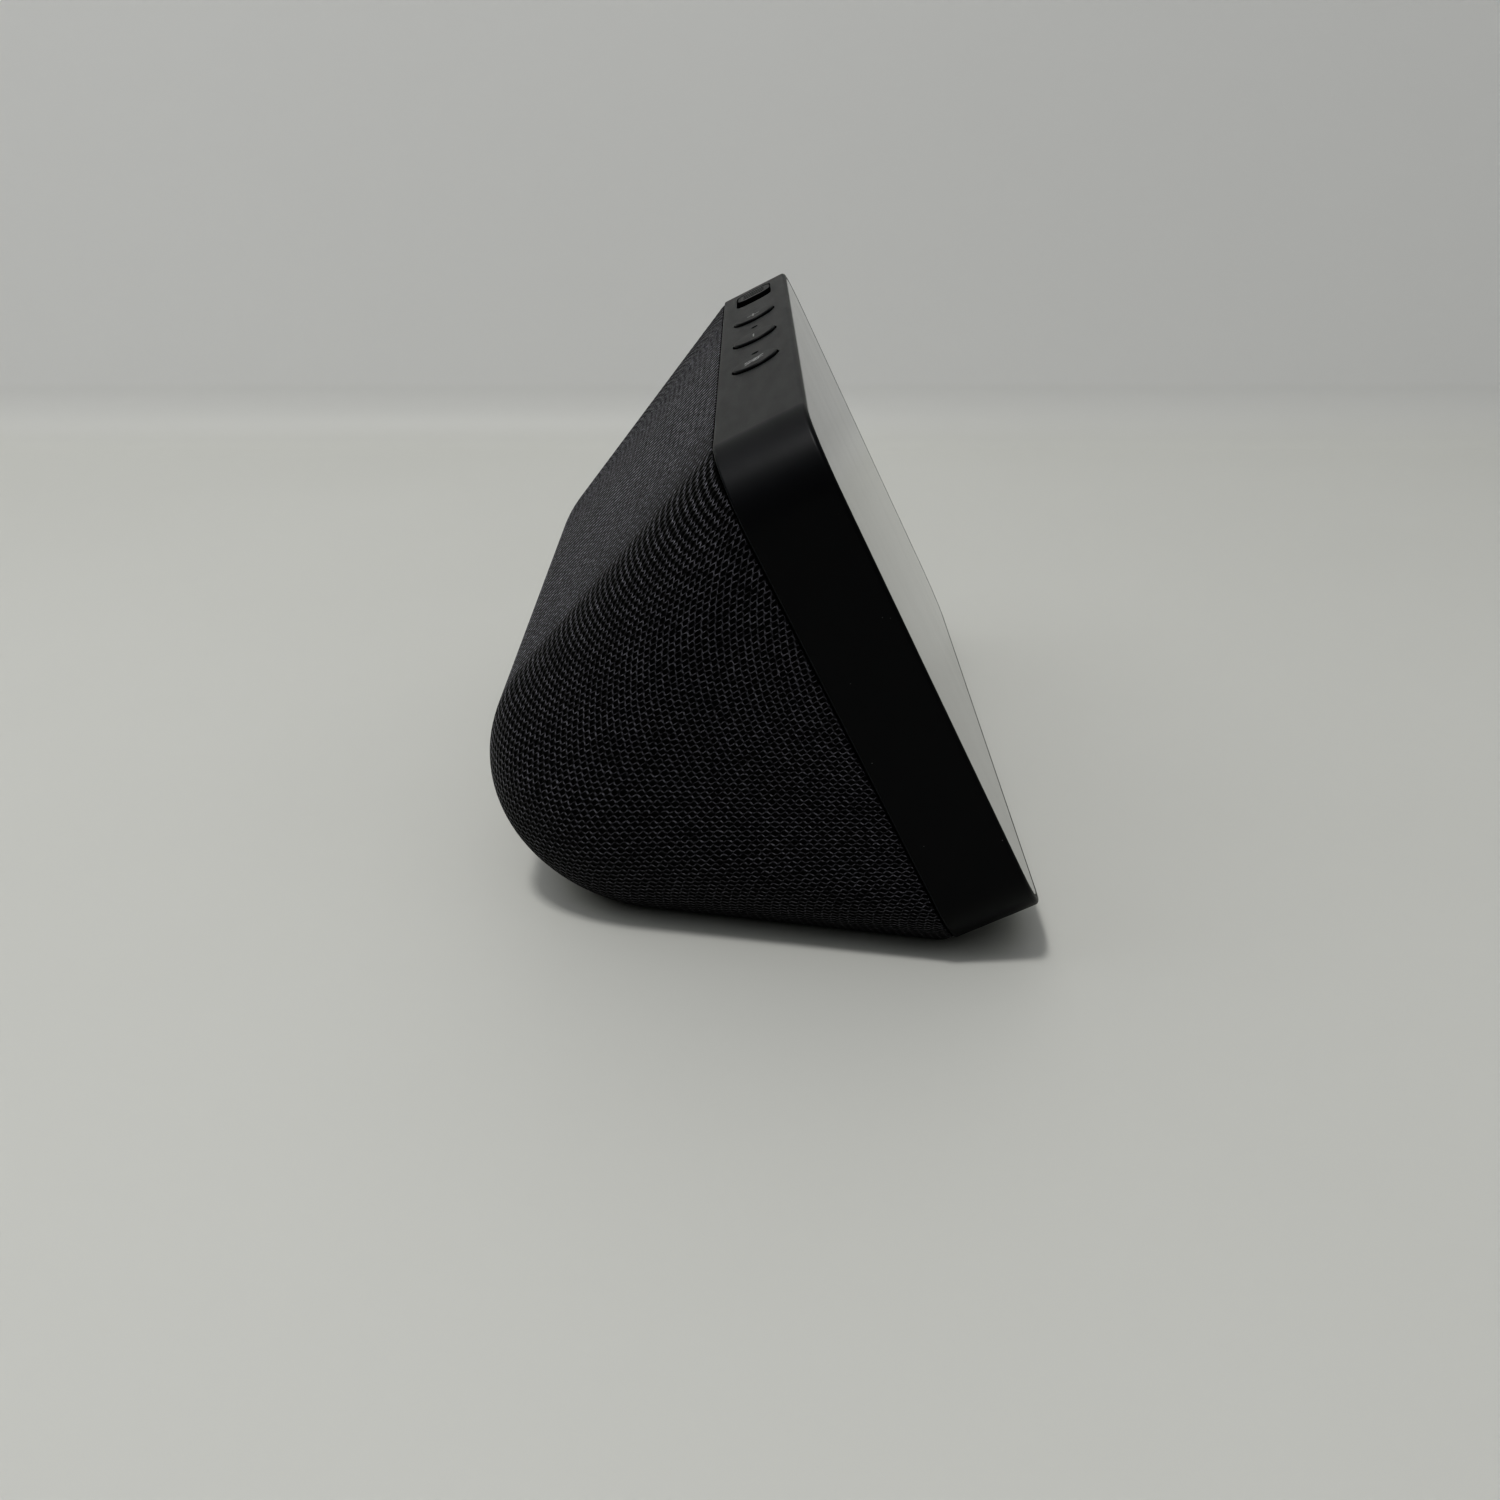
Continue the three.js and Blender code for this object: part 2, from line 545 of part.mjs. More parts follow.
// The body's outer surface moved in by `inset`, from its front plane (w = front) backwards.
function bodySolid(inset, front) {
  const points = [];
  const edge = FABRIC_INSET + inset;
  const outline = roundedLoop(FRAME_WIDTH - 2 * edge, FRAME_HEIGHT - 2 * edge, FRAME_CORNER - edge);
  for (const w of new Set([front, -GAP])) {
    for (const p of outline) points.push(toBody(p.x, p.y + faceMiddle, w));
  }
  for (const side of [-1, 1]) {
    for (let ring = 0; ring <= NOSE_RINGS; ring += 1) {
      const latitude = (ring / NOSE_RINGS) * Math.PI / 2;
      for (let i = 0; i < NOSE_SIDES; i += 1) {
        const angle = (i / NOSE_SIDES) * 2 * Math.PI;
        points.push(new THREE.Vector3(
          side * (NOSE_HALF_BAR + (NOSE_END - inset) * Math.sin(latitude)),
          noseY + (NOSE_RADIUS_Y - inset) * Math.cos(latitude) * Math.cos(angle),
          NOSE_HEIGHT + (NOSE_RADIUS_Z - inset) * Math.cos(latitude) * Math.sin(angle),
        ));
        if (ring === NOSE_RINGS) break;
      }
    }
  }
  const keelZ = undersideZ + inset;
  for (const x of [-KEEL_HALF_WIDTH, KEEL_HALF_WIDTH]) {
    points.push(new THREE.Vector3(x * (1 - inset / KEEL_HALF_WIDTH), KEEL_START + inset, keelZ));
  }
  const hull = new ConvexGeometry(points);
  return common(hull, block([-100, -20, keelZ], [100, 100, 100]));
}

const fabricOuter = bodySolid(0, -GAP);
const shellInset = FABRIC_THICKNESS + GAP;
const cavityInset = shellInset + SHELL_THICKNESS;
const openFront = 3;

// Opening in the underside for the base plate.
const BASE = { width: 108, depth: 44, corner: 12, middleY: 28.5 };
function underPlate(grow, sections) {
  const plate = stacked(BASE.width + 2 * grow, BASE.depth + 2 * grow, BASE.corner + grow, sections);
  plate.translate(0, BASE.middleY, 0);
  return plate;
}
const baseOpening = underPlate(0, [[0, undersideZ - 2], [0, undersideZ + 4.2]]);
const socketHoleRadius = 6.8;
const socketHole = rod(socketHoleRadius, [SOCKET_X, 55, SOCKET_HEIGHT], [SOCKET_X, 80, SOCKET_HEIGHT], 32);

addPiece(bodyGroup, 'fabric_cover', cut(
  fabricOuter, bodySolid(FABRIC_THICKNESS, openFront), baseOpening, socketHole), charcoalKnit);

// Sound slots through the shell in front of the loudspeaker.
driverGroup.updateMatrix();
const soundRadius = 19;
const soundSlots = [-15, -10, -5, 0, 5, 10, 15].map((x) => {
  const reach = Math.sqrt(soundRadius ** 2 - x * x) - 3;
  const slot = block([x - 1.2, -reach, 2], [x + 1.2, reach, 40]);
  return slot.applyMatrix4(driverGroup.matrix);
});
addPiece(bodyGroup, 'rear_shell', cut(
  bodySolid(shellInset, -GAP), bodySolid(cavityInset, openFront), baseOpening, socketHole, ...soundSlots,
), blackPlastic);

// Base plate, rubber foot and base screws ---------------------------------------------------------------
const table = -FRAME_LIFT;
const footTop = table + 0.8;
const plateBottom = footTop + GAP;
const shellFloor = undersideZ + cavityInset;
const flangeTop = shellFloor + GAP + 1.2;
const baseScrews = [-44, 44].flatMap((x) => [15, 42].map((y) => ({ x, y })));
const baseScrewHead = 1.2;
const footMargin = 4;
const foot = underPlate(-footMargin, [[0.4, table], [0, table + 0.3], [0, footTop]]);
addPiece(bodyGroup, 'rubber_foot', foot, rubber);
const flange = 3.3;
const plateSections = [
  [flange + GAP, plateBottom], [flange + GAP, shellFloor + GAP], [0, shellFloor + GAP], [0, flangeTop],
];
addPiece(bodyGroup, 'base_plate', cut(
  underPlate(flange, plateSections),
  ...baseScrews.map(({ x, y }) => rod(2.3, [x, y, table], [x, y, plateBottom + baseScrewHead + 0.4])),
  ...baseScrews.map(({ x, y }) => rod(1.3, [x, y, table], [x, y, flangeTop + 1], 12)),
), blackPlastic);
baseScrews.forEach(({ x, y }, i) => {
  const piece = addPiece(bodyGroup, `base_screw_${i + 1}`, screw(2.0, baseScrewHead, 1.0, 11), steel);
  piece.position.set(x, y, plateBottom + 0.1);
});

// Loudspeaker chamber --------------------------------------------------------------------------------
const chamberInset = cavityInset + 3.0;
const chamberWall = 2.0;
const chamberHalf = 27;
const chamberFront = -4;

// The body between its ends, behind the mounting plane of the loudspeaker and behind the display.
function chamberBlock(inset, halfWidth, back, front) {
  const behindPlane = block([-100, -100, -100], [100, 100, back]);
  behindPlane.applyMatrix4(driverGroup.matrix);
  const behindDisplay = block([-100, -100, -200], [100, 200, front]);
  behindDisplay.rotateX(Math.PI / 2 - tilt);
  const between = block([-halfWidth, -50, -50], [halfWidth, 150, 150]);
  return common(bodySolid(inset, -GAP), behindPlane, behindDisplay, between);
}

function makeChamber() {
  const seat = rod(DRIVER_RADIUS + GAP, [0, 0, -1.5], [0, 0, 5], 40);
  const throat = rod(DRIVER_RADIUS - 2, [0, 0, -5], [0, 0, 5], 40);
  const inner = chamberBlock(
    chamberInset + chamberWall, chamberHalf - chamberWall, -2.5, chamberFront - chamberWall);
  return cut(
    chamberBlock(chamberInset, chamberHalf, 0, chamberFront), inner,
    throat.applyMatrix4(driverGroup.matrix), seat.applyMatrix4(driverGroup.matrix));
}
addPiece(bodyGroup, 'speaker_chamber', makeChamber(), blackPlastic);

// Loudspeaker ----------------------------------------------------------------------------------------
addPiece(driverGroup, 'speaker_basket', turned([
  [DRIVER_RADIUS, 0], [DRIVER_RADIUS, -1.2], [19.9, -1.2], [19.9, -3], [14, -9], [14, -10], [11, -10],
  [11, -9.2], [12.9, -9.2], [18.9, -2.8], [18.9, 0],
], 40), darkSteel);
addPiece(driverGroup, 'speaker_yoke', turned([
  [0, -17.5], [13.6, -17.5], [14, -17.1], [14, -10.3], [12, -10.3], [12, -16], [0, -16],
], 32), steel);
function washer(inner, outer, from, to, sides = 32) {
  return turned([[inner, from], [outer, from], [outer, to], [inner, to]], sides);
}
const magnetRadius = 9;
addPiece(driverGroup, 'speaker_magnet', washer(0, magnetRadius, -15.7, -12.2), darkSteel);
addPiece(driverGroup, 'pole_plate', washer(0, magnetRadius, -11.9, -10.3), steel);
addPiece(driverGroup, 'voice_coil', washer(9.7, 10.3, -14, -7.6), brass);
addPiece(driverGroup, 'speaker_cone', turned([
  [0, -4.9], [5.5, -5.5], [9.6, -7.3], [10.4, -7.3], [15.6, -1.9], [15.6, -1.3], [15.1, -1.3],
  [10.2, -6.5], [5.3, -4.8], [0, -4.2],
], 40), paper);
const ROLL = { middle: 17.25, radius: 1.35, base: -1.3, steps: 4 };
const surroundRoll = [];
for (let i = 0; i <= ROLL.steps; i += 1) {
  const angle = Math.PI * (1 - i / ROLL.steps);
  surroundRoll.push([
    ROLL.middle + ROLL.radius * Math.cos(angle), ROLL.base + ROLL.radius * Math.sin(angle),
  ]);
}
addPiece(driverGroup, 'speaker_surround', turned([
  ...surroundRoll, [18.6, -1.9], [17.9, -1.9], [17.7, -1.0], [16.8, -1.0], [16.6, -1.9], [15.9, -1.9],
], 40), rubber);
addPiece(driverGroup, 'speaker_gasket', washer(19.2, DRIVER_RADIUS - GAP, GAP, GAP + 1, 40), rubber);

// Power inlet ----------------------------------------------------------------------------------------
const jackBack = 53;
const jackFront = 65.5;
const along = (radius, from, to, sides = 24) =>
  rod(radius, [SOCKET_X, from, SOCKET_HEIGHT], [SOCKET_X, to, SOCKET_HEIGHT], sides);
const jackRadius = 3.4;
const jackBore = 2.3;
const jackFloor = jackBack + 3;
const beyond = 90;
addPiece(bodyGroup, 'socket_housing', cut(
  common(along(socketHoleRadius - GAP, 61, beyond, 32), bodySolid(0.15, -GAP)),
  along(5.2, jackFront + 0.7, beyond, 32),
  along(jackRadius + GAP, jackBack - 3, beyond),
), blackPlastic);
addPiece(bodyGroup, 'power_jack', cut(
  along(jackRadius, jackBack, jackFront), along(jackBore, jackFloor, beyond)), glossBlack);
addPiece(bodyGroup, 'jack_pin', along(0.8, jackFloor + GAP, jackFront - 1, 12), brass);
const socketBoardBack = jackBack - 1.3;
addPiece(bodyGroup, 'socket_board', block(
  [SOCKET_X - 6, socketBoardBack, SOCKET_HEIGHT - 5], [SOCKET_X + 6, jackBack - GAP, SOCKET_HEIGHT + 6],
), greenBoard);

// Leads from the main board to the inlet and to the loudspeaker ----------------------------------------
function lead(points, radius) {
  const path = new THREE.CatmullRomCurve3(points);
  const circle = new THREE.Path().absarc(0, 0, radius, 0, 2 * Math.PI);
  const section = new THREE.Shape(circle.getPoints(4).slice(0, -1));
  return new THREE.ExtrudeGeometry(section, { steps: 24, extrudePath: path, bevelEnabled: false });
}
const leadStart = CONNECTOR.back - 2 * GAP;
addPiece(bodyGroup, 'power_lead', lead([
  toBody(leadConnectors.power, CONNECTOR.middle, leadStart),
  toBody(leadConnectors.power, CONNECTOR.middle, -4),
  new THREE.Vector3(SOCKET_X - 3, 32, 16),
  new THREE.Vector3(SOCKET_X - 2, 44, 17),
  new THREE.Vector3(SOCKET_X - 2, socketBoardBack - GAP, SOCKET_HEIGHT + 3),
], 1.1), rubber);
addPiece(bodyGroup, 'speaker_lead', lead([
  toBody(leadConnectors.speaker, CONNECTOR.middle, leadStart),
  toBody(leadConnectors.speaker, CONNECTOR.middle, -4),
  new THREE.Vector3(leadConnectors.speaker, 26, 18),
  new THREE.Vector3(leadConnectors.speaker - 1, 33, 22),
  new THREE.Vector3(chamberHalf + 2 * GAP, 35, 22),
], 0.9), rubber);

export default model;
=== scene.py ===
"""Compact smart speaker with a tilted touch display: the looks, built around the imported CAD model.

Metres, +Z up. The display faces -Y and its left end is -X. Shapes are worked out in millimetres, in the
two frames that the CAD uses, and each frame's matrix turns them into metres:
  DISPLAY: x along the display, y up its sloping face, z out of its front;
  BODY:    level axes from the lower rear edge of the display frame.
"""
import json
import math

import bmesh
import bpy
import numpy as np
from mathutils import Matrix, Vector
from mathutils.bvhtree import BVHTree


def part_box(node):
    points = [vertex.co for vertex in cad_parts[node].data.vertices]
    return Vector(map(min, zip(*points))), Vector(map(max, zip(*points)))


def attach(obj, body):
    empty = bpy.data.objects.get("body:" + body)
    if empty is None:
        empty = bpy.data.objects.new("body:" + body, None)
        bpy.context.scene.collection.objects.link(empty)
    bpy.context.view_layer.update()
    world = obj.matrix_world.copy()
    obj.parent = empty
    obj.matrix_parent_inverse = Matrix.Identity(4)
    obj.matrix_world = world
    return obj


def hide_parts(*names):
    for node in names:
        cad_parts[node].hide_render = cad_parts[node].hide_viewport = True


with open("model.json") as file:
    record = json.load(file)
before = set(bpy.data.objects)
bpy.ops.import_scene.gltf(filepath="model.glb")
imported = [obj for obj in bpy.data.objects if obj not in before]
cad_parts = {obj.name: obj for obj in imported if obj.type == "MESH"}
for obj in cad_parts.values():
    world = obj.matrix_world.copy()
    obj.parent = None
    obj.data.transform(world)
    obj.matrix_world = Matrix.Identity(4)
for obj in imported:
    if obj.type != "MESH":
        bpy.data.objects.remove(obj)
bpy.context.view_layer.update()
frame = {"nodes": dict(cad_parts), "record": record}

# Dimensions of the object, in millimetres --------------------------------------------------------
MM = 0.001
FRAME_WIDTH = 147.0
FRAME_HEIGHT = 86.0
FRAME_DEPTH = 14.05
FRAME_CORNER = 11.3                # of the frame's outline
FRAME_WALL = 2.2
POST_OFFSET, POST_HEIGHTS = 67.6, (20, 64)  # the four screw posts beside the display
POST_BACK = 1.6
POST_RADIUS, PILOT_RADIUS = 2.3, 1.3
RIB_REACH, RIB_HALF_WIDTH = 4.4, 1.4
FRONT_ROUNDING = 0.7
BACK_ROUNDING = 0.4
RIM_WIDTH = 1.2
GAP = 0.3
FINE_GAP = 0.14                    # visible joints of the glass, buttons and slider
TILT = math.radians(26.2)

GLASS_FRONT = FRAME_DEPTH - 0.04
GLASS_BACK = FRAME_DEPTH - 1.2
LEDGE_FRONT = GLASS_BACK - 2 * GAP - 0.4
LEDGE_BACK = LEDGE_FRONT - 2.0
LEDGE_INSET = 4.2

TOP_LINE = 6.9                     # buttons, microphones and shutter: distance from the frame's back edge
BUTTON_PLACES = {"mic_off": -18.3, "volume_down": 4.3, "volume_up": 26.2}
BUTTON_RADIUS = 4.0
BUTTON_HOLE = 4.25
BUTTON_CROWN = FRAME_HEIGHT + 0.45
EAR_BOTTOM = 82.4                  # underside of the cap and its two ears
EAR_REACH, EAR_HALF_DEPTH = 5.5, 2.0
STEM_RADIUS = 1.6
STEM_END = 80.95
MIC_PLACES = (-10.3, 15.1)
MIC_RADIUS = 0.6
ABOVE_FRAME = 88.0                 # where the tools that cut the top end
SHUTTER_START, SHUTTER_END = 44.7, 59.9
SHUTTER_WIDTH = 7.6
SHUTTER_DEPTH = 1.3
SHUTTER_CORNER = 2.6
KNOB_LENGTH = 7.6
STEM_SLOT = ((47.2, 82, 5.5), (57.6, FRAME_HEIGHT, 8.3))
STEM_START, STEM_STOP, STEM_BACK, STEM_FRONT = 54.3, 57.3, 5.8, 8.0
STEM_BOTTOM = 82.3
CAMERA_U, CAMERA_V = 55.8, 78.9
CAMERA_WINDOW, LENS_RADIUS = 2.1, 1.3
SENSOR_U = 42.0
SENSOR_WINDOW = 1.1
SCREEN_MIDDLE, SCREEN_HALF_WIDTH, SCREEN_HALF_HEIGHT = 41.5, 63.0, 32.5

FABRIC_THICKNESS = 1.0
FABRIC_INSET = 0.35
FABRIC_UNDERSIDE = -0.4
NOSE_HALF_BAR = 49.0
NOSE_END = 17.5
NOSE_RADIUS_Y, NOSE_RADIUS_Z = 30.2, 26.6
NOSE_Z = 23.6
KEEL_HALF_WIDTH = 66.0
KEEL_START = 2.5
BASE_WIDTH, BASE_DEPTH, BASE_CORNER, BASE_Y = 108.0, 44.0, 12.0, 28.5
SOCKET_X, SOCKET_Z = -34.0, 14.0
SOCKET_HOLE = 6.8

ARC_STEPS = 24                     # segments of each quarter circle of an outline

# The two working frames ----------------------------------------------------------------------------
frame_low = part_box("display_frame")[0]
frame_reach = (FRAME_DEPTH - 0.2) * math.cos(TILT) - 0.2 * math.sin(TILT)
origin = Vector((0, frame_low.y + frame_reach * MM, frame_low.z - BACK_ROUNDING * math.sin(TILT) * MM))
BODY = Matrix.Translation(origin) @ Matrix.Scale(MM, 4)
DISPLAY = BODY @ Matrix.Rotation(math.pi / 2 - TILT, 4, "X")
NOSE_Y = (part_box("fabric_cover")[1].y - origin.y) / MM - NOSE_RADIUS_Y


def to_body(u, v, w):
    """A point of the sloping display frame in the level axes of the body."""
    return Vector((
        u,
        v * math.sin(TILT) - w * math.cos(TILT),
        v * math.cos(TILT) + w * math.sin(TILT),
    ))


# Camera ---------------------------------------------------------------------------------------------
camera_data = bpy.data.cameras.new("camera")
camera_data.lens = 36.35
camera_data.shift_y = 0.0065
camera = bpy.data.objects.new("camera", camera_data)
camera.location = (-0.2690, 0.0021, 0.1288)
camera.rotation_euler = (math.radians(64.54), 0, math.radians(-90.11))
bpy.context.scene.collection.objects.link(camera)
bpy.context.scene.camera = camera


# Node materials ---------------------------------------------------------------------------------------
def node(tree, kind, inputs=None, output=0, **settings):
    """Adds a shader node, sets it up and returns one of its outputs."""
    made = tree.nodes.new("ShaderNode" + kind)
    for key, value in settings.items():
        setattr(made, key, value)
    for key, value in (inputs or {}).items():
        if isinstance(value, bpy.types.NodeSocket):
            tree.links.new(value, made.inputs[key])
        else:
            made.inputs[key].default_value = value
    return made.outputs[output]


def calc(tree, operation, *values):
    return node(tree, "Math", dict(enumerate(values)), operation=operation)


def millimetres(tree, stretch=(1, 1, 1)):
    """The piece's own coordinates in millimetres, each axis multiplied by stretch."""
    place = node(tree, "TexCoord", output="Object")
    scale = tuple(s / MM for s in stretch)
    return node(tree, "VectorMath", {0: place, 1: scale}, operation="MULTIPLY")


def noise(tree, size, detail=2.0, stretch=(1, 1, 1), roughness=0.5):
    """Noise between 0 and 1 whose features are about size millimetres across."""
    inputs = {
        "Vector": millimetres(tree, stretch), "Scale": 1 / size, "Detail": detail, "Roughness": roughness,
    }
    return node(tree, "TexNoise", inputs)


def ramp(tree, value, low, high, start=0.0, end=1.0, smooth=False):
    """value from start..end mapped to low..high and held there outside."""
    return node(tree, "MapRange", {0: value, 1: start, 2: end, 3: low, 4: high},
                interpolation_type="SMOOTHSTEP" if smooth else "LINEAR")


def blend_colours(tree, share, first, second):
    made = tree.nodes.new("ShaderNodeMix")
    made.data_type = "RGBA"
    for socket, value in ((made.inputs[0], share), (made.inputs[6], first), (made.inputs[7], second)):
        if isinstance(value, bpy.types.NodeSocket):
            tree.links.new(value, socket)
        elif isinstance(value, tuple):
            socket.default_value = (*value, 1)
        else:
            socket.default_value = value
    return made.outputs[2]


def specks(tree, spacing, size, stretch=(1, 1, 1)):
    """1 on scattered small spots, about one every few spacings, 0 elsewhere."""
    inputs = {"Vector": millimetres(tree, stretch), "Scale": 1 / spacing, "Randomness": 1.0}
    distance = node(tree, "TexVoronoi", inputs)
    return ramp(tree, distance, 1, 0, size * 0.5 / spacing, size / spacing)


def new_material(name, **constants):
    """A material with its node tree and Principled shader; constants go straight on the shader."""
    material = bpy.data.materials.new(name)
    material.use_nodes = True
    tree = material.node_tree
    shader = tree.nodes["Principled BSDF"]
    for key, value in constants.items():
        shader.inputs[key.replace("_", " ")].default_value = value
    return material, tree, shader


def bump(tree, shader, height, distance_mm, normal=None):
    inputs = {"Height": height, "Distance": distance_mm * MM, "Strength": 1.0}
    if normal:
        inputs["Normal"] = normal
    out = node(tree, "Bump", inputs)
    tree.links.new(out, shader.inputs["Normal"])
    return out


def grey(value, tint=(1, 1, 1)):
    return tuple(value * t for t in tint)


def moulded(name, colour, roughness, grain=0.12, depth=0.006, spread=0.25, dust=0.0, specular=0.5):
    """Moulded plastic or rubber: spark-eroded grain, slight tone changes, faint scuffs and dust specks."""
    material, tree, shader = new_material(name, Specular_IOR_Level=specular)
    darker = tuple(c * (1 - spread) for c in colour)
    lighter = tuple(c * (1 + spread) for c in colour)
    tone = blend_colours(tree, noise(tree, 14, 3), darker, lighter)
    if dust:
        clouds = ramp(tree, noise(tree, 9, 1), 0, dust, 0.5, 0.6)
        lint = calc(tree, "MULTIPLY", specks(tree, 2.6, 0.12), clouds)
        tone = blend_colours(tree, lint, tone, grey(0.3))
    tree.links.new(tone, shader.inputs["Base Color"])
    scuffs = ramp(tree, noise(tree, 2.5, 4, (0.25, 1, 1)), -0.015, 0.025, 0.35, 0.75)
    tree.links.new(calc(tree, "ADD", scuffs, roughness), shader.inputs["Roughness"])
    bump(tree, shader, noise(tree, grain, 2), depth)
    return material


def metal(name, colour, roughness, brush=(1, 1, 1)):
    """Plated or rolled metal with fine brushing and slightly uneven roughness."""
    material, tree, shader = new_material(name, Metallic=1.0)
    tone = blend_colours(tree, noise(tree, 3, 4), tuple(0.82 * c for c in colour), colour)
    tree.links.new(tone, shader.inputs["Base Color"])
    lines = noise(tree, 0.25, 3, brush)
    tree.links.new(ramp(tree, lines, roughness - 0.07, roughness + 0.1), shader.inputs["Roughness"])
    bump(tree, shader, lines, 0.004)
    return material


def make_glass():
    """Black-printed cover glass: screen area, camera window and sensor window, faint smears and dust."""
    material, tree, shader = new_material("cover_glass", Roughness=0.03, IOR=1.4)
    level = {"Vector": millimetres(tree), "Angle": TILT - math.pi / 2}
    turned = node(tree, "VectorRotate", level, rotation_type="X_AXIS")
    u_axis = node(tree, "SeparateXYZ", {0: turned}, output="X")
    v_axis = u_axis.node.outputs["Y"]
    low = DISPLAY.inverted() @ Vector((0, 0, 0))
    v_local = calc(tree, "ADD", v_axis, low.y)
    above_middle = calc(tree, "SUBTRACT", v_local, SCREEN_MIDDLE)
    across = calc(tree, "SUBTRACT", SCREEN_HALF_WIDTH, calc(tree, "ABSOLUTE", u_axis))
    up = calc(tree, "SUBTRACT", SCREEN_HALF_HEIGHT, calc(tree, "ABSOLUTE", above_middle))
    inside = ramp(tree, calc(tree, "MINIMUM", across, up), 0, 1, -0.05, 0.05)
    tone = blend_colours(tree, inside, grey(0.0028), grey(0.0045, (0.95, 1, 1.1)))

    def distance_to(u, v):
        du = calc(tree, "SUBTRACT", u_axis, u)
        dv = calc(tree, "SUBTRACT", v_local, v)
        squares = calc(tree, "MULTIPLY_ADD", du, du, calc(tree, "MULTIPLY", dv, dv))
        return calc(tree, "SQRT", squares)

    camera_window = (CAMERA_U, CAMERA_WINDOW, grey(0.012, (0.8, 0.9, 1.2)))
    sensor_window = (SENSOR_U, SENSOR_WINDOW, grey(0.02))
    for u, radius, colour in (camera_window, sensor_window):
        away = distance_to(u, CAMERA_V)
        tone = blend_colours(tree, ramp(tree, away, 1, 0, radius - 0.05, radius + 0.05), tone, colour)
    lens = distance_to(CAMERA_U, CAMERA_V)
    inside_lens = ramp(tree, lens, 1, 0, LENS_RADIUS - 0.05, LENS_RADIUS + 0.05)
    tone = blend_colours(tree, inside_lens, tone, grey(0.0015))
    ring = calc(tree, "MULTIPLY", ramp(tree, lens, 0, 1, 0.75, 0.8), ramp(tree, lens, 1, 0, 0.92, 1.0))
    tone = blend_colours(tree, ring, tone, grey(0.03, (0.7, 0.8, 1.4)))
    dust = calc(tree, "MULTIPLY", specks(tree, 1.9, 0.13), ramp(tree, noise(tree, 7, 1), 0, 0.8, 0.5, 0.58))
    tree.links.new(blend_colours(tree, dust, tone, grey(0.22)), shader.inputs["Base Color"])
    smears = ramp(tree, noise(tree, 12, 4, (1, 0.35, 0.35)), 0.02, 0.09, 0.45, 0.75)
    tree.links.new(calc(tree, "ADD", smears, calc(tree, "MULTIPLY", dust, 0.5)), shader.inputs["Roughness"])
    return material


def make_circuit_board():
    """Green solder mask over a faint pattern of copper tracks and pads."""
    material, tree, shader = new_material("circuit_board", Roughness=0.35)
    inputs = {"Vector": millimetres(tree), "Scale": 0.9, "Randomness": 0.2}
    cells = node(tree, "TexVoronoi", inputs, feature="F1", distance="MANHATTAN")
    tracks = ramp(tree, calc(tree, "PINGPONG", calc(tree, "MULTIPLY", cells, 3), 0.5), 0, 1, 0.3, 0.4)
    tone = blend_colours(tree, tracks, (0.012, 0.07, 0.03), (0.03, 0.13, 0.06))
    tree.links.new(tone, shader.inputs["Base Color"])
    bump(tree, shader, tracks, 0.02)
    return material


def make_clear_plastic():
    """Slightly cloudy clear plastic of the light pipe."""
    material, tree, shader = new_material("clear_plastic", Roughness=0.08, Transmission_Weight=0.85, IOR=1.49)
    tone = blend_colours(tree, noise(tree, 2, 2), (0.9, 0.92, 0.92), (0.8, 0.83, 0.84))
    tree.links.new(tone, shader.inputs["Base Color"])
    return material


# Knit -------------------------------------------------------------------------------------------------
# The cover is a tight knit of small cells in brick order. Two phases run over it: one counts the rows and
# one counts half cells along a row. They follow how the tube of fabric is stretched over the ends. Depth
# and height are counted from KNIT_MIDDLE, in units of KNIT_SPAN millimetres of the body frame.
KNIT_MIDDLE = 38.0
KNIT_SPAN = 30.0
ROWS = 34.0                        # rows for each span of height on the ends
ROW_FAN = 8.5                      # how they fan out away from the frame
ROW_STRETCH = 3.0                  # and spread apart towards the top
ROW_CURL = 10.0                    # rows they curl by where the fabric turns over onto the sleeve,
CURL_INSET, CURL_WIDTH = 15.0, 7.0 # so far in from the frame's end and over about this width
COLUMNS = 42.0                     # half cells for each span of depth on the ends
COLUMN_LEAN = 20.0                 # how they lean,
COLUMN_TURN = 12.0                 # turn away from the frame
COLUMN_START = 25.0                # and line up with the sleeve's
COLUMN_PITCH = -1.43               # half cells for each millimetre along the speaker
RIGHT_WEIGHT, COLUMN_WEIGHT = 1.0, 0.45
LEFT_WEIGHT = (0.85, 1.05)         # on the ends: low down and high up, where the cells lean
ROW_WEIGHT = (0.9, 0.75)
WEIGHT_LOW, WEIGHT_RISE = 20.0, 40.0    # where low down ends, and how much further high up begins
SLEEVE_WEIGHTS = (1.7, 0.6)        # left and row weight between the ends, where the cells lie open
RIDGE_WEIGHTS = (0.8, 1.0)         # and where the fabric turns over from an end to the sleeve
RIDGE_FADE_START = 42.0            # the ridge's rows fade out towards the middle of the sleeve
RIDGE_FADE = 16.0
RIDGE_REACH = 0.8                  # how much of them the ends of the sleeve have
TURN_START, TURN_RANGE = 0.02, 0.3 # how far the fabric faces sideways where the ridge's cells begin
END_START, END_RANGE = 0.6, 0.35   # and where the cells of the ends begin
RIDGE_OPENING_SHADE = 0.06               # the stretched cells there open wider, and more of each shows the painted shade of the pits between the yarn
WEIGHT_SUM = 3.4
KNIT_TINT = (1.0, 0.98, 1.1)
RELIEF = 0.11                      # height of the yarn above the pits between it
UNDERSIDE_ROW, UNDERSIDE_CELL = 1.05, 1.25
KNIT_LAYERS = ("knit_row", "knit_column", "knit_left_weight", "knit_row_weight", "knit_opening_shade")


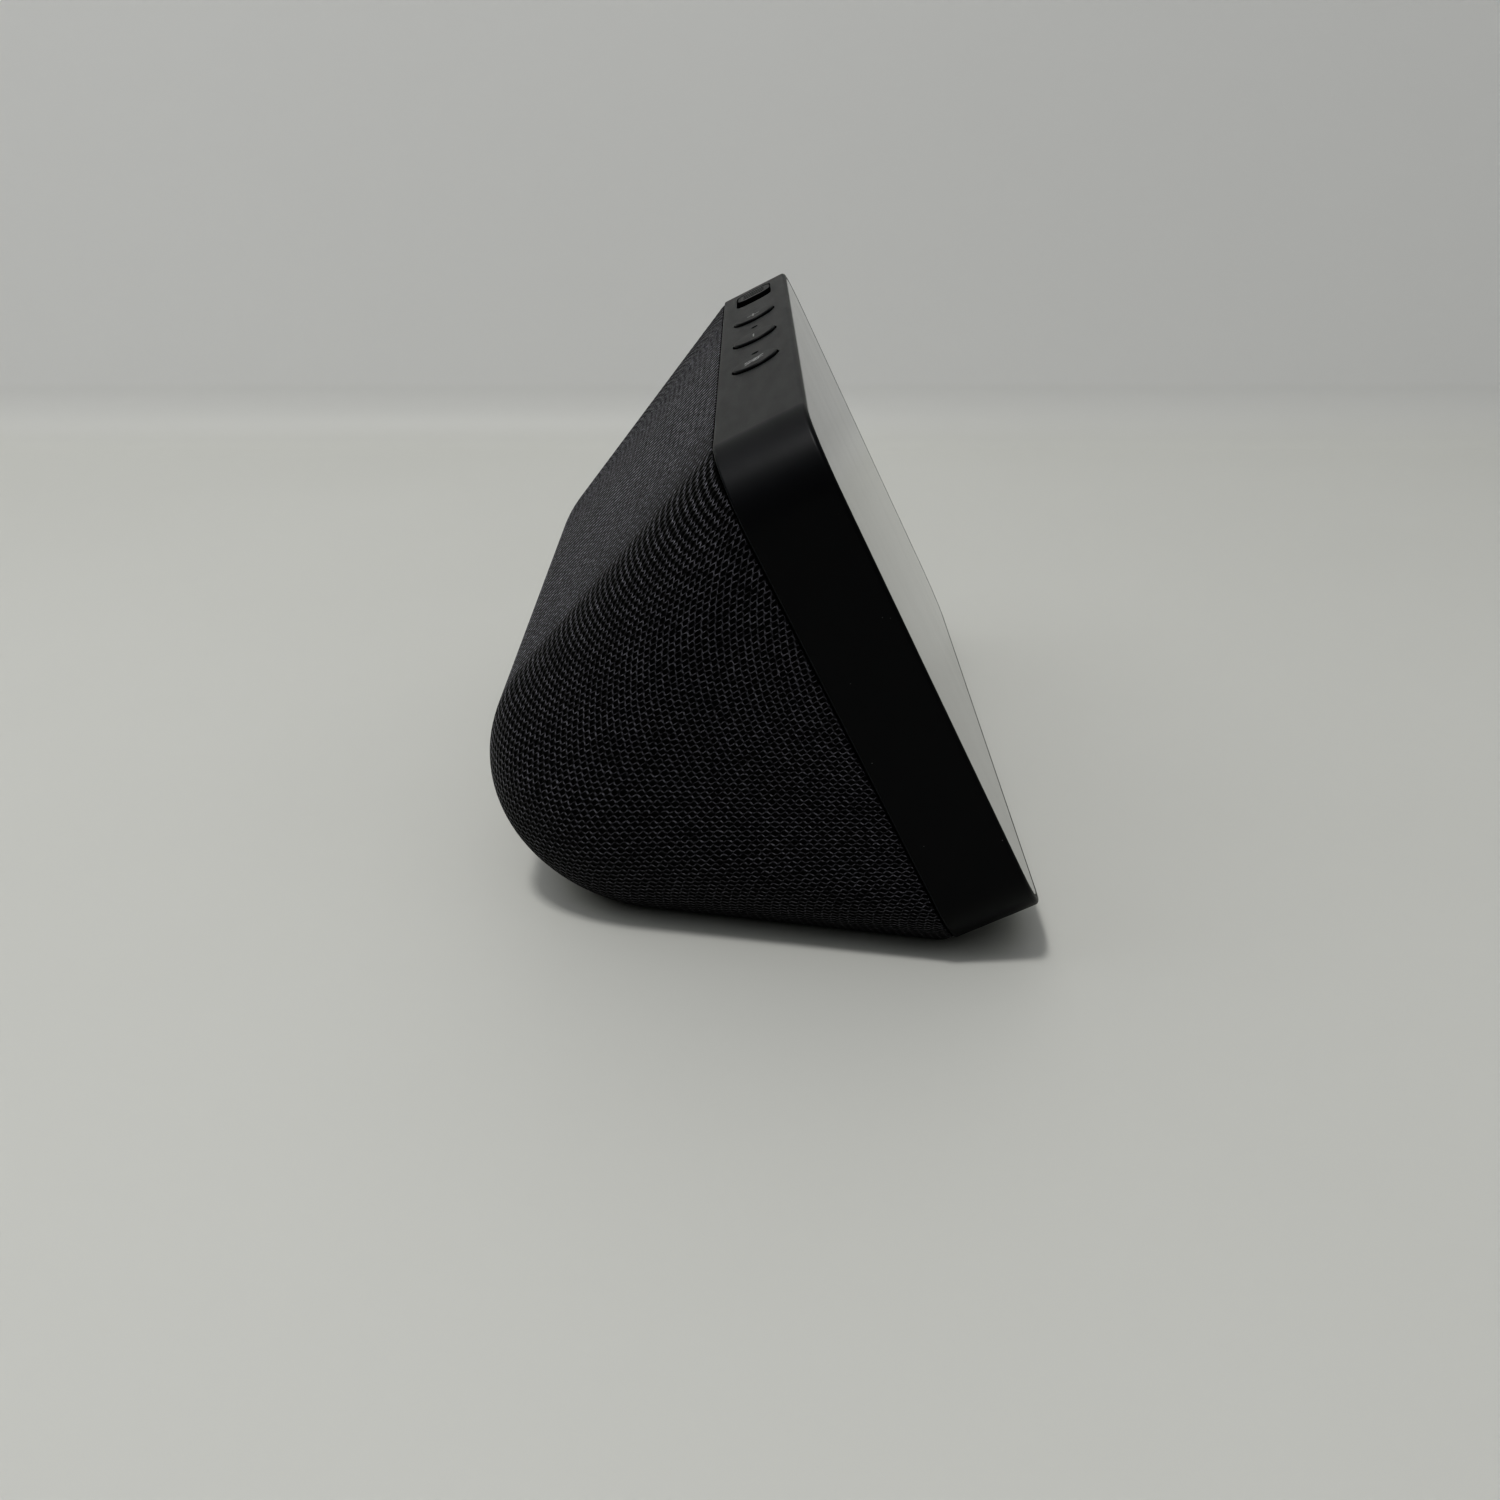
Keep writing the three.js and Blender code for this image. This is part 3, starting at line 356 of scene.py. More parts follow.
def knit_phases(x, y, z, downwards):
    """Row and column phase at points of the body frame; the flat underside has its own regular grid."""
    depth = (y - KNIT_MIDDLE) / KNIT_SPAN
    height = (z - KNIT_MIDDLE) / KNIT_SPAN
    row = height * (ROWS - ROW_FAN * depth - ROW_STRETCH * height * (1 + height))
    row = row - ROW_CURL / (1 + np.exp((CURL_INSET - FRAME_WIDTH / 2 + np.abs(x)) / CURL_WIDTH))
    strain = COLUMN_START - COLUMNS * depth - COLUMN_LEAN * height - COLUMN_TURN * height * (depth + height)
    side = -np.sin(np.clip(x / NOSE_HALF_BAR, -1, 1) * math.pi / 2)
    column = strain * side + COLUMN_PITCH * x
    row = np.where(downwards, y / UNDERSIDE_ROW, row)
    column = np.where(downwards, 2 * x / UNDERSIDE_CELL, column)
    return row, column


def knit_weights(x, z, sideways):
    """Weights of the left-leaning lines and of the rows, and how far the knit opens where it turns over,
    which widens the painted shade of its pits there.

    sideways is 1 on the ends and 0 between them.
    """
    upper = np.clip((z - WEIGHT_LOW) / WEIGHT_RISE, 0, 1)
    near_end = np.clip((np.abs(x) - RIDGE_FADE_START) / RIDGE_FADE, 0, 1)
    turned = np.clip((np.abs(sideways) - TURN_START) / TURN_RANGE + RIDGE_REACH * near_end, 0, 1)
    flat = np.clip((np.abs(sideways) - END_START) / END_RANGE, 0, 1)
    weights = []
    for sleeve, ridge, ends in zip(SLEEVE_WEIGHTS, RIDGE_WEIGHTS, (LEFT_WEIGHT, ROW_WEIGHT)):
        weight = sleeve + turned * (ridge - sleeve)
        weights.append(weight + flat * (np.interp(upper, (0, 1), ends) - weight))
    weights.append(RIDGE_OPENING_SHADE * turned**2 * (1 - flat))
    return weights


def knit_height(row, column, left_weight, row_weight):
    """Height of the knit between -1 in the pits and about 1 on the yarn."""
    total = RIGHT_WEIGHT * np.cos(math.pi * (row + column))
    total = total + left_weight * np.cos(math.pi * (row - column))
    total = total + row_weight * np.cos(2 * math.pi * row)
    total = total + COLUMN_WEIGHT * np.cos(2 * math.pi * column)
    return -total / WEIGHT_SUM


def make_knit():
    """Knit of thin grey yarn over pits painted near-black, partly the dark body seen through the gaps and
    partly painted shade in the recesses, from the phases stored on the mesh.
    """
    material, tree, shader = new_material(
        "knit_fabric", Specular_IOR_Level=0.15, Sheen_Weight=0.12, Sheen_Roughness=0.5)
    row, column, left_weight, row_weight, opening_shade = (
        node(tree, "Attribute", output="Fac", attribute_name=name) for name in KNIT_LAYERS)
    row = calc(tree, "ADD", row, ramp(tree, noise(tree, 0.9, 2), -0.13, 0.13, 0.2, 0.8))
    column = calc(tree, "ADD", column, ramp(tree, noise(tree, 1.1, 2, (1.1, 0.9, 1)), -0.2, 0.2, 0.2, 0.8))

    def wave(phase, turn):
        return calc(tree, "COSINE", calc(tree, "MULTIPLY", phase, turn))

    right = wave(calc(tree, "ADD", row, column), math.pi)
    left = wave(calc(tree, "SUBTRACT", row, column), math.pi)
    rows = wave(row, 2 * math.pi)
    columns = wave(column, 2 * math.pi)
    total = calc(tree, "MULTIPLY", right, RIGHT_WEIGHT)
    total = calc(tree, "MULTIPLY_ADD", left, left_weight, total)
    total = calc(tree, "MULTIPLY_ADD", rows, row_weight, total)
    total = calc(tree, "MULTIPLY_ADD", columns, COLUMN_WEIGHT, total)
    # Where the knit turns over, the opening lowers the height. The cells open wider and more of each one gets
    # the painted shade of the pits.
    height = calc(tree, "SUBTRACT", calc(tree, "DIVIDE", total, -WEIGHT_SUM), opening_shade)
    twist = noise(tree, 0.13, 2, (0.6, 1, 1))
    yarn = ramp(tree, calc(tree, "ADD", height, ramp(tree, twist, -0.2, 0.2)), 0, 1, 0.05, 0.5, smooth=True)
    patches = ramp(tree, noise(tree, 1.8, 2), -0.03, 0.03, 0.3, 0.7)
    melange = ramp(tree, calc(tree, "ADD", noise(tree, 0.62, 3, (0.5, 1, 1)), patches), 0, 1, 0.3, 0.7)
    thread = blend_colours(tree, melange, grey(0.04, KNIT_TINT), grey(0.24, KNIT_TINT))
    # Painted shade: where the height is low the colour goes near-black. This is partly the dark body seen
    # through the gaps and partly painted shade in the pits between the yarn.
    tone = blend_colours(tree, yarn, grey(0.003), thread)
    tree.links.new(tone, shader.inputs["Base Color"])
    tree.links.new(ramp(tree, yarn, 0.95, 0.78), shader.inputs["Roughness"])
    relief = bump(tree, shader, height, 0.09)
    bump(tree, shader, twist, 0.03, relief)
    return material


MATERIALS = {
    "frame_plastic": moulded(
        "frame_plastic", grey(0.0125, (0.97, 0.98, 1.12)), 0.44, spread=0.06, dust=0.6, specular=0.27),
    "inner_plastic": moulded("inner_plastic", grey(0.012), 0.55),
    "cover_glass": make_glass(),
    "lcd": moulded("lcd", grey(0.006, (0.9, 1, 1.15)), 0.15, depth=0.001),
    "lens": moulded("lens", grey(0.004, (0.8, 0.9, 1.3)), 0.08, depth=0.0005),
    "clear_plastic": make_clear_plastic(),
    "white_plastic": moulded("white_plastic", grey(0.62, (1, 0.99, 0.96)), 0.45, spread=0.05),
    "chip_black": moulded("chip_black", grey(0.014), 0.5, spread=0.15),
    "jack_plastic": moulded("jack_plastic", grey(0.008), 0.35),
    "knit_fabric": make_knit(),
    "rubber": moulded("rubber", grey(0.018), 0.8, grain=0.3, depth=0.015, dust=0.8, specular=0.3),
    "foam_black": moulded("foam_black", grey(0.012), 0.9, grain=0.35, depth=0.05, specular=0.2),
    "plated_steel": metal("plated_steel", (0.62, 0.62, 0.6), 0.3, (0.15, 1, 1)),
    "dark_steel": metal("dark_steel", (0.16, 0.16, 0.17), 0.42),
    "aluminium_sheet": metal("aluminium_sheet", (0.68, 0.69, 0.7), 0.36, (0.1, 1, 1)),
    "brass_contact": metal("brass_contact", (0.72, 0.52, 0.22), 0.26, (0.2, 1, 1)),
    "circuit_board": make_circuit_board(),
    "amber_film": moulded("amber_film", (0.42, 0.16, 0.03), 0.25, depth=0.002, spread=0.12),
    "cone_paper": moulded("cone_paper", grey(0.022), 0.85, grain=0.4, depth=0.03, specular=0.2),
}
icon_ink = moulded("icon_ink", grey(0.4), 0.6, depth=0.002, spread=0.1)


# Mesh tools ---------------------------------------------------------------------------------------------
def mesh_object(name, points, faces, matrix):
    """A mesh object at the origin, its points given in the frame of matrix, faces turned outwards."""
    mesh = bpy.data.meshes.new(name)
    mesh.from_pydata([matrix @ Vector(p) for p in points], [], faces)
    shape = bmesh.new()
    shape.from_mesh(mesh)
    bmesh.ops.remove_doubles(shape, verts=shape.verts, dist=1e-7)
    bmesh.ops.recalc_face_normals(shape, faces=shape.faces)
    shape.to_mesh(mesh)
    shape.free()
    made = bpy.data.objects.new(name, mesh)
    bpy.context.scene.collection.objects.link(made)
    return made


def apply_modifiers(made):
    """Replaces the object's mesh with what its modifiers make of it."""
    graph = bpy.context.evaluated_depsgraph_get()
    mesh = bpy.data.meshes.new_from_object(made.evaluated_get(graph))
    made.modifiers.clear()
    old = made.data
    made.data = mesh
    bpy.data.meshes.remove(old)


def combine(target, tools, operation="DIFFERENCE"):
    """Cuts the tools out of target, or joins them to it, and removes them."""
    for tool in tools:
        modifier = target.modifiers.new("combine", "BOOLEAN")
        modifier.operation = operation
        modifier.solver = "MANIFOLD"
        modifier.object = tool
    apply_modifiers(target)
    for tool in tools:
        bpy.data.objects.remove(tool)


def shade(made, angle=32):
    """Smooth shading with edges sharper than angle degrees kept crisp."""
    shape = bmesh.new()
    shape.from_mesh(made.data)
    for edge in shape.edges:
        edge.smooth = len(edge.link_faces) == 2 and edge.calc_face_angle(0) < math.radians(angle)
    for face in shape.faces:
        face.smooth = True
    shape.to_mesh(made.data)
    shape.free()
    weighted = made.modifiers.new("even_shading", "WEIGHTED_NORMAL")
    weighted.keep_sharp = True
    weighted.weight = 100


def finish_piece(made, body, slot, *replaced, material=None):
    """Gives a new piece the material of its slot, or the one given, and lets it ride and stand for its CAD
    nodes.
    """
    made.data.materials.clear()
    made.data.materials.append(material or MATERIALS[slot])
    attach(made, body)
    if replaced:
        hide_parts(*replaced)
    return made


def arc(centre, radius, start, end, steps=6):
    """Points of an arc in a plane, start and end in degrees."""
    angles = [math.radians(start + (end - start) * i / steps) for i in range(steps + 1)]
    return [(centre[0] + radius * math.cos(t), centre[1] + radius * math.sin(t)) for t in angles]


def rounded_loop(width, height, radius, steps=ARC_STEPS):
    """Points of a rounded rectangle about the origin, anticlockwise."""
    points = []
    for corner, (side_x, side_y) in enumerate(((1, 1), (-1, 1), (-1, -1), (1, -1))):
        centre = (side_x * (width / 2 - radius), side_y * (height / 2 - radius))
        points += arc(centre, radius, 90 * corner, 90 * corner + 90, steps)
    return points


def stacked(name, width, height, radius, sections, matrix, ring=False, steps=ARC_STEPS):
    """A stack of rounded rectangles, each [inset, height]. A ring closes on itself, a plate is capped."""
    points, faces = [], []
    for inset, level in sections:
        corner = max(radius - inset, 0.3)
        outline = rounded_loop(width - 2 * inset, height - 2 * inset, corner, steps)
        points += [(x, y, level) for x, y in outline]
    count = 4 * (steps + 1)
    bands = len(sections) if ring else len(sections) - 1
    for band in range(bands):
        a, b = band * count, (band + 1) % len(sections) * count
        faces += [(a + i, a + (i + 1) % count, b + (i + 1) % count, b + i) for i in range(count)]
    if not ring:
        last = (len(sections) - 1) * count
        faces += [tuple(reversed(range(count))), tuple(range(last, last + count))]
    return mesh_object(name, points, faces, matrix)


def lathe(name, profile, matrix, sides=72):
    """A solid of revolution about z; profile is [radius, z] points that close on themselves or the axis."""
    points, rings, faces = [], [], []
    for radius, level in profile:
        rings.append(len(points))
        turns = range(sides) if radius > 0 else range(1)
        angles = [2 * math.pi * i / sides for i in turns]
        points += [(radius * math.cos(t), radius * math.sin(t), level) for t in angles]
    pairs = list(zip(range(len(profile)), range(1, len(profile))))
    if profile[0][0] > 0:
        pairs.append((len(profile) - 1, 0))

    def corner(row, i):
        """A corner of a face; every corner on the axis is the same point."""
        return rings[row] + (i if profile[row][0] else 0)

    for first, second in pairs:
        for i in range(sides):
            j = (i + 1) % sides
            corners = [corner(first, i), corner(first, j), corner(second, j), corner(second, i)]
            unique = tuple(dict.fromkeys(corners))
            if len(unique) > 2:
                faces.append(unique)
    return mesh_object(name, points, faces, matrix)


def box(name, low, high, matrix):
    corners = [(x, y, z) for x in (low[0], high[0]) for y in (low[1], high[1]) for z in (low[2], high[2])]
    faces = [(0, 1, 3, 2), (4, 6, 7, 5), (0, 4, 5, 1), (2, 3, 7, 6), (0, 2, 6, 4), (1, 5, 7, 3)]
    return mesh_object(name, corners, faces, matrix)


def on_top(u):
    """Matrix of a feature on the frame's top face: its z axis is up the display, its x along it."""
    return DISPLAY @ Matrix.Translation((u, 0, TOP_LINE)) @ Matrix.Rotation(-math.pi / 2, 4, "X")


def rod(radius, low, high):
    """Lathe profile of a plain rod."""
    return [(0, low), (radius, low), (radius, high), (0, high)]


def top_hole(radius, bottom, lip):
    """Lathe profile that cuts a hole with a bevelled lip in the frame's top face."""
    return [(0, bottom), (radius, bottom), (radius, FRAME_HEIGHT - lip), (radius + lip, FRAME_HEIGHT),
            (radius + lip, ABOVE_FRAME), (0, ABOVE_FRAME)]


# Display frame ----------------------------------------------------------------------------------------
def make_display_frame():
    back = [(BACK_ROUNDING - x, BACK_ROUNDING - y) for x, y in arc((0, 0), BACK_ROUNDING, 90, 0, 5)]
    front_centre = FRAME_DEPTH - FRONT_ROUNDING
    front = [(FRONT_ROUNDING - x, front_centre + y) for x, y in arc((0, 0), FRONT_ROUNDING, 0, 90, 8)]
    rim = [(RIM_WIDTH - 0.12, FRAME_DEPTH), (RIM_WIDTH, FRAME_DEPTH - 0.12)]
    inside = [(RIM_WIDTH, LEDGE_FRONT), (LEDGE_INSET, LEDGE_FRONT), (LEDGE_INSET, LEDGE_BACK),
              (FRAME_WALL, LEDGE_BACK), (FRAME_WALL, 0)]
    centred = DISPLAY @ Matrix.Translation((0, FRAME_HEIGHT / 2, 0))
    ring = stacked("display_frame_shell", FRAME_WIDTH, FRAME_HEIGHT, FRAME_CORNER,
                   back + front + rim + inside, centred, ring=True)
    posts, pilots = [], []
    post_end = LEDGE_BACK + 0.5
    for side in (-1, 1):
        for v in POST_HEIGHTS:
            at = DISPLAY @ Matrix.Translation((side * POST_OFFSET, v, 0))
            posts.append(lathe("post", rod(POST_RADIUS, POST_BACK, post_end), at, 32))
            low_x, high_x = sorted((0, side * RIB_REACH))
            rib_low, rib_high = (low_x, -RIB_HALF_WIDTH, POST_BACK), (high_x, RIB_HALF_WIDTH, post_end)
            posts.append(box("rib", rib_low, rib_high, at))
            pilots.append(lathe("pilot", rod(PILOT_RADIUS, 1, 8), at, 24))
    combine(ring, posts, "UNION")
    cutters = [lathe("button_hole", top_hole(BUTTON_HOLE, 80, 0.07), on_top(u), 96)
               for u in BUTTON_PLACES.values()]
    cutters += [lathe("mic_hole", top_hole(MIC_RADIUS, 82, 0.1), on_top(u), 32) for u in MIC_PLACES]
    pocket_floor = FRAME_HEIGHT - SHUTTER_DEPTH
    pocket = [(0.15, pocket_floor), (0, pocket_floor + 0.15), (0, FRAME_HEIGHT - 0.05), (-0.05, FRAME_HEIGHT),
              (-0.05, FRAME_HEIGHT + 2)]
    cutters.append(stacked("pocket", SHUTTER_END - SHUTTER_START, SHUTTER_WIDTH, SHUTTER_CORNER, pocket,
                           on_top((SHUTTER_START + SHUTTER_END) / 2), steps=12))
    cutters.append(box("stem_slot", *STEM_SLOT, DISPLAY))
    combine(ring, pilots + cutters)
    shade(ring)
    return finish_piece(ring, "housing", "frame_plastic", "display_frame")


def make_cover_glass():
    inset = RIM_WIDTH + FINE_GAP
    edge = [(0.3 - x, GLASS_FRONT - 0.3 + y) for x, y in arc((0, 0), 0.3, 0, 90, 6)]
    width, height = FRAME_WIDTH - 2 * inset, FRAME_HEIGHT - 2 * inset
    pane = stacked("cover_glass_pane", width, height, FRAME_CORNER - inset,
                   [(0.08, GLASS_BACK), (0, GLASS_BACK + 0.08)] + edge,
                   DISPLAY @ Matrix.Translation((0, FRAME_HEIGHT / 2, 0)))
    shade(pane)
    return finish_piece(pane, "housing", "cover_glass", "cover_glass")


# Buttons ----------------------------------------------------------------------------------------------
def stroke(points, width, closed=False):
    """Outline of a line with round ends, as one loop of points; a closed line almost meets itself."""
    path = [Vector(p) for p in points]
    if closed:
        path.append(path[0].lerp(path[-1], 0.15))
    left, right = [], []
    for i, p in enumerate(path):
        along = (path[min(i + 1, len(path) - 1)] - path[max(i - 1, 0)]).normalized()
        side = Vector((-along.y, along.x)) * width / 2
        left.append(p + side)
        right.append(p - side)
    first = (path[1] - path[0]).angle_signed(Vector((1, 0)))
    last = (path[-1] - path[-2]).angle_signed(Vector((1, 0)))
    head = arc(path[-1], width / 2, math.degrees(last) + 90, math.degrees(last) - 90, 8)
    tail = arc(path[0], width / 2, math.degrees(first) - 90, math.degrees(first) - 270, 8)
    return [tuple(p) for p in left] + head[1:-1] + [tuple(p) for p in reversed(right)] + tail[1:-1]


def icon_strokes(name):
    """Generic pictures: a crossed-out microphone, a minus sign and a plus sign."""
    if name == "mic_off":
        return [
            stroke(arc((0, 1.1), 0.5, 0, 180, 12) + arc((0, 0.2), 0.5, 180, 360, 12), 0.2, closed=True),
            stroke(arc((0, 0.2), 1.05, 185, 355, 16), 0.2),
            stroke([(0, -0.95), (0, -1.6)], 0.2),
            stroke([(-1.6, 1.6), (1.6, -1.6)], 0.22),
        ]
    bars = [stroke([(-1.1, 0), (1.1, 0)], 0.24)]
    if name == "volume_up":
        bars.append(stroke([(0, -1.1), (0, 1.1)], 0.24))
    return bars


def make_button(name, u):
    dome = 0.02
    edge = 0.34
    flat = BUTTON_RADIUS - edge
    steps = 8
    crown = [(flat * i / steps, BUTTON_CROWN - dome * (i / steps) ** 2) for i in range(steps + 1)]
    rim = arc((flat, BUTTON_CROWN - dome - edge), edge, 90, 0, 8)
    below = [(BUTTON_RADIUS, EAR_BOTTOM), (STEM_RADIUS, EAR_BOTTOM), (STEM_RADIUS, STEM_END), (0, STEM_END)]
    cap = lathe(f"{name}_button_cap", crown + rim[1:] + below, on_top(u), 128)
    ear_top = FRAME_HEIGHT - FRAME_WALL - GAP
    ears = box("ears", (u - EAR_REACH, EAR_BOTTOM, TOP_LINE - EAR_HALF_DEPTH),
               (u + EAR_REACH, ear_top, TOP_LINE + EAR_HALF_DEPTH), DISPLAY)
    combine(cap, [ears], "UNION")
    shade(cap)
    finish_piece(cap, f"{name}_button", "frame_plastic", f"{name}_button")
    points, faces = [], []
    for outline in icon_strokes(name):
        low, count = len(points), len(outline)
        high = low + count
        for level in (BUTTON_CROWN - 0.05, BUTTON_CROWN + 0.012):
            points += [(x, y, level) for x, y in outline]
        faces += [(low + i, low + (i + 1) % count, high + (i + 1) % count, high + i) for i in range(count)]
        faces += [tuple(reversed(range(low, high))), tuple(range(high, high + count))]
    icon = mesh_object(f"{name}_icon", points, faces, on_top(u))
    return finish_piece(icon, f"{name}_button", "white_plastic", material=icon_ink)


def make_shutter_knob():
    end = SHUTTER_END - FINE_GAP
    start = SHUTTER_END - GAP - KNOB_LENGTH
    floor = FRAME_HEIGHT - SHUTTER_DEPTH + GAP
    top = FRAME_HEIGHT - 0.03
    round_edge = 0.2
    edge = [(round_edge - x, top - round_edge + y) for x, y in arc((0, 0), round_edge, 0, 90, 5)]
    middle = on_top((start + end) / 2)
    pad = stacked("shutter_knob_pad", end - start, SHUTTER_WIDTH - 2 * FINE_GAP, SHUTTER_CORNER - FINE_GAP,
                  [(0, floor)] + edge, middle, steps=12)
    stem = box("stem", (STEM_START, STEM_BOTTOM, STEM_BACK), (STEM_STOP, floor + 0.2, STEM_FRONT), DISPLAY)
    combine(pad, [stem], "UNION")
    groove = [(0.3, -0.42), (0.12, -0.3), (0, -0.1), (0, 0.5)]
    grooves = []
    for offset in (-1.8, 0, 1.8):
        at = middle @ Matrix.Translation((offset, 0, top + 0.12))
        grooves.append(stacked("groove", 0.8, 4.8, 0.39, groove, at, steps=6))
    combine(pad, grooves)
    shade(pad)
    return finish_piece(pad, "shutter", "frame_plastic", "shutter_knob")


# Fabric cover -------------------------------------------------------------------------------------------
FABRIC_GRID = 0.27   # spacing of the cover's mesh
RELAX_ROUNDS = 12
EDGE_ROLL = 0.22                   # radius of the turned-in edges
BAKE_SPAN = 232.0                  # millimetres across the UV map of the cover
SLEEVE_RADIUS, SLEEVE_Y = 38.0, 20.0
SLEEVE_PLACE = (75.0, 92.0)
END_PLACES = {-1: (229.0, 4.0), 1: (153.0, 88.0)}


def hull_object(name, inset, fronts):
    """The body's outer surface moved in by inset: display outline, rounded nose and flat underside.

    fronts are the places along the display's z axis where its outline stands.
    """
    points = []
    edge = FABRIC_INSET + inset
    outline = rounded_loop(FRAME_WIDTH - 2 * edge, FRAME_HEIGHT - 2 * edge, FRAME_CORNER - edge)
    for w in fronts:
        points += [to_body(x, y + FRAME_HEIGHT / 2, w) for x, y in outline]
    rings, sides = 20, 96
    for end in (-1, 1):
        for ring in range(rings + 1):
            latitude = ring / rings * math.pi / 2
            for i in range(sides):
                angle = 2 * math.pi * i / sides
                points.append(Vector((
                    end * (NOSE_HALF_BAR + (NOSE_END - inset) * math.sin(latitude)),
                    NOSE_Y + (NOSE_RADIUS_Y - inset) * math.cos(latitude) * math.cos(angle),
                    NOSE_Z + (NOSE_RADIUS_Z - inset) * math.cos(latitude) * math.sin(angle),
                )))
    floor = FABRIC_UNDERSIDE + inset
    for x in (-KEEL_HALF_WIDTH, KEEL_HALF_WIDTH):
        points.append(Vector((x * (1 - inset / KEEL_HALF_WIDTH), KEEL_START + inset, floor)))
    shape = bmesh.new()
    for p in points:
        shape.verts.new(p)
    hull = bmesh.ops.convex_hull(shape, input=shape.verts)
    loose = {v for v in hull["geom_interior"] + hull["geom_unused"] if isinstance(v, bmesh.types.BMVert)}
    bmesh.ops.delete(shape, geom=list(loose), context="VERTS")
    everything = shape.verts[:] + shape.edges[:] + shape.faces[:]
    cut = bmesh.ops.bisect_plane(shape, geom=everything, plane_co=(0, 0, floor), plane_no=(0, 0, -1),
                                 clear_outer=True)
    rim = [e for e in cut["geom_cut"] if isinstance(e, bmesh.types.BMEdge)]
    if rim:
        bmesh.ops.edgeloop_fill(shape, edges=rim)
    bmesh.ops.recalc_face_normals(shape, faces=shape.faces)
    mesh = bpy.data.meshes.new(name)
    shape.to_mesh(mesh)
    shape.free()
    made = bpy.data.objects.new(name, mesh)
    bpy.context.scene.collection.objects.link(made)
    return made


def get_points(mesh):
    points = np.empty(len(mesh.vertices) * 3)
    mesh.vertices.foreach_get("co", points)
    return points.reshape(-1, 3)


def set_points(mesh, points):
    mesh.vertices.foreach_set("co", points.ravel())
    mesh.update()


def vertex_normals(mesh):
    normals = np.empty(len(mesh.vertices) * 3, np.float32)
    mesh.vertex_normals.foreach_get("vector", normals)
    return normals.reshape(-1, 3).astype(float)


def relaxed(mesh, points, rounds, snap=None):
    """Moves each point towards the middle of its neighbours, then back on the snap surface, if any."""
    ends = np.empty(len(mesh.edges) * 2, np.int64)
    mesh.edges.foreach_get("vertices", ends)
    a, b = ends[0::2], ends[1::2]
    count = np.bincount(ends, minlength=len(points)).astype(float)
    for _ in range(rounds):
        total = np.stack([
            np.bincount(a, points[b, axis], len(points)) + np.bincount(b, points[a, axis], len(points))
            for axis in range(3)
        ], 1)
        points = 0.5 * points + 0.5 * total / count[:, None]
    if snap:
        points = np.array([snap.find_nearest(p)[0] for p in points])
    return points


def edge_drop(distance):
    """How far a turned-in edge sinks at a distance from it."""
    near = np.clip(EDGE_ROLL - distance, 0, EDGE_ROLL)
    return EDGE_ROLL - np.sqrt(EDGE_ROLL ** 2 - near ** 2)


def rounded_box_distance(x, y, width, depth, radius):
    """Distance outside a rounded rectangle about the origin."""
    dx = np.abs(x) - (width / 2 - radius)
    dy = np.abs(y) - (depth / 2 - radius)
    outside = np.hypot(np.maximum(dx, 0), np.maximum(dy, 0))
    return outside + np.minimum(np.maximum(dx, dy), 0) - radius


def lay_out_bake_map(mesh, points, normals):
    """A UV map of three flat islands: the sleeve unrolled round the nose and both ends."""
    loops = len(mesh.loops)
    vertex = np.empty(loops, np.int64)
    mesh.loops.foreach_get("vertex_index", vertex)
    totals = np.empty(len(mesh.polygons), np.int64)
    mesh.polygons.foreach_get("loop_total", totals)
    face_of_loop = np.repeat(np.arange(len(totals)), totals)
    sideways = np.bincount(face_of_loop, normals[vertex, 0]) / totals
    x, y, z = points.T
    around = np.unwrap(np.arctan2(z - NOSE_Z, y - SLEEVE_Y))
    around = np.where(around < -math.pi * 0.75, around + 2 * math.pi, around)
    places = np.stack([x + SLEEVE_PLACE[0], around * SLEEVE_RADIUS + SLEEVE_PLACE[1]], 1)
    uv = places[vertex] / BAKE_SPAN
    for sign, (start, base) in END_PLACES.items():
        on_end = (sideways * sign > 0.55)[face_of_loop]
        places = np.stack([y * sign + start, z + base], 1)
        uv[on_end] = places[vertex][on_end] / BAKE_SPAN
    layer = mesh.uv_layers.new(name="OFBake")
    layer.data.foreach_set("uv", np.clip(uv, 0.001, 0.999).astype(np.float32).ravel())


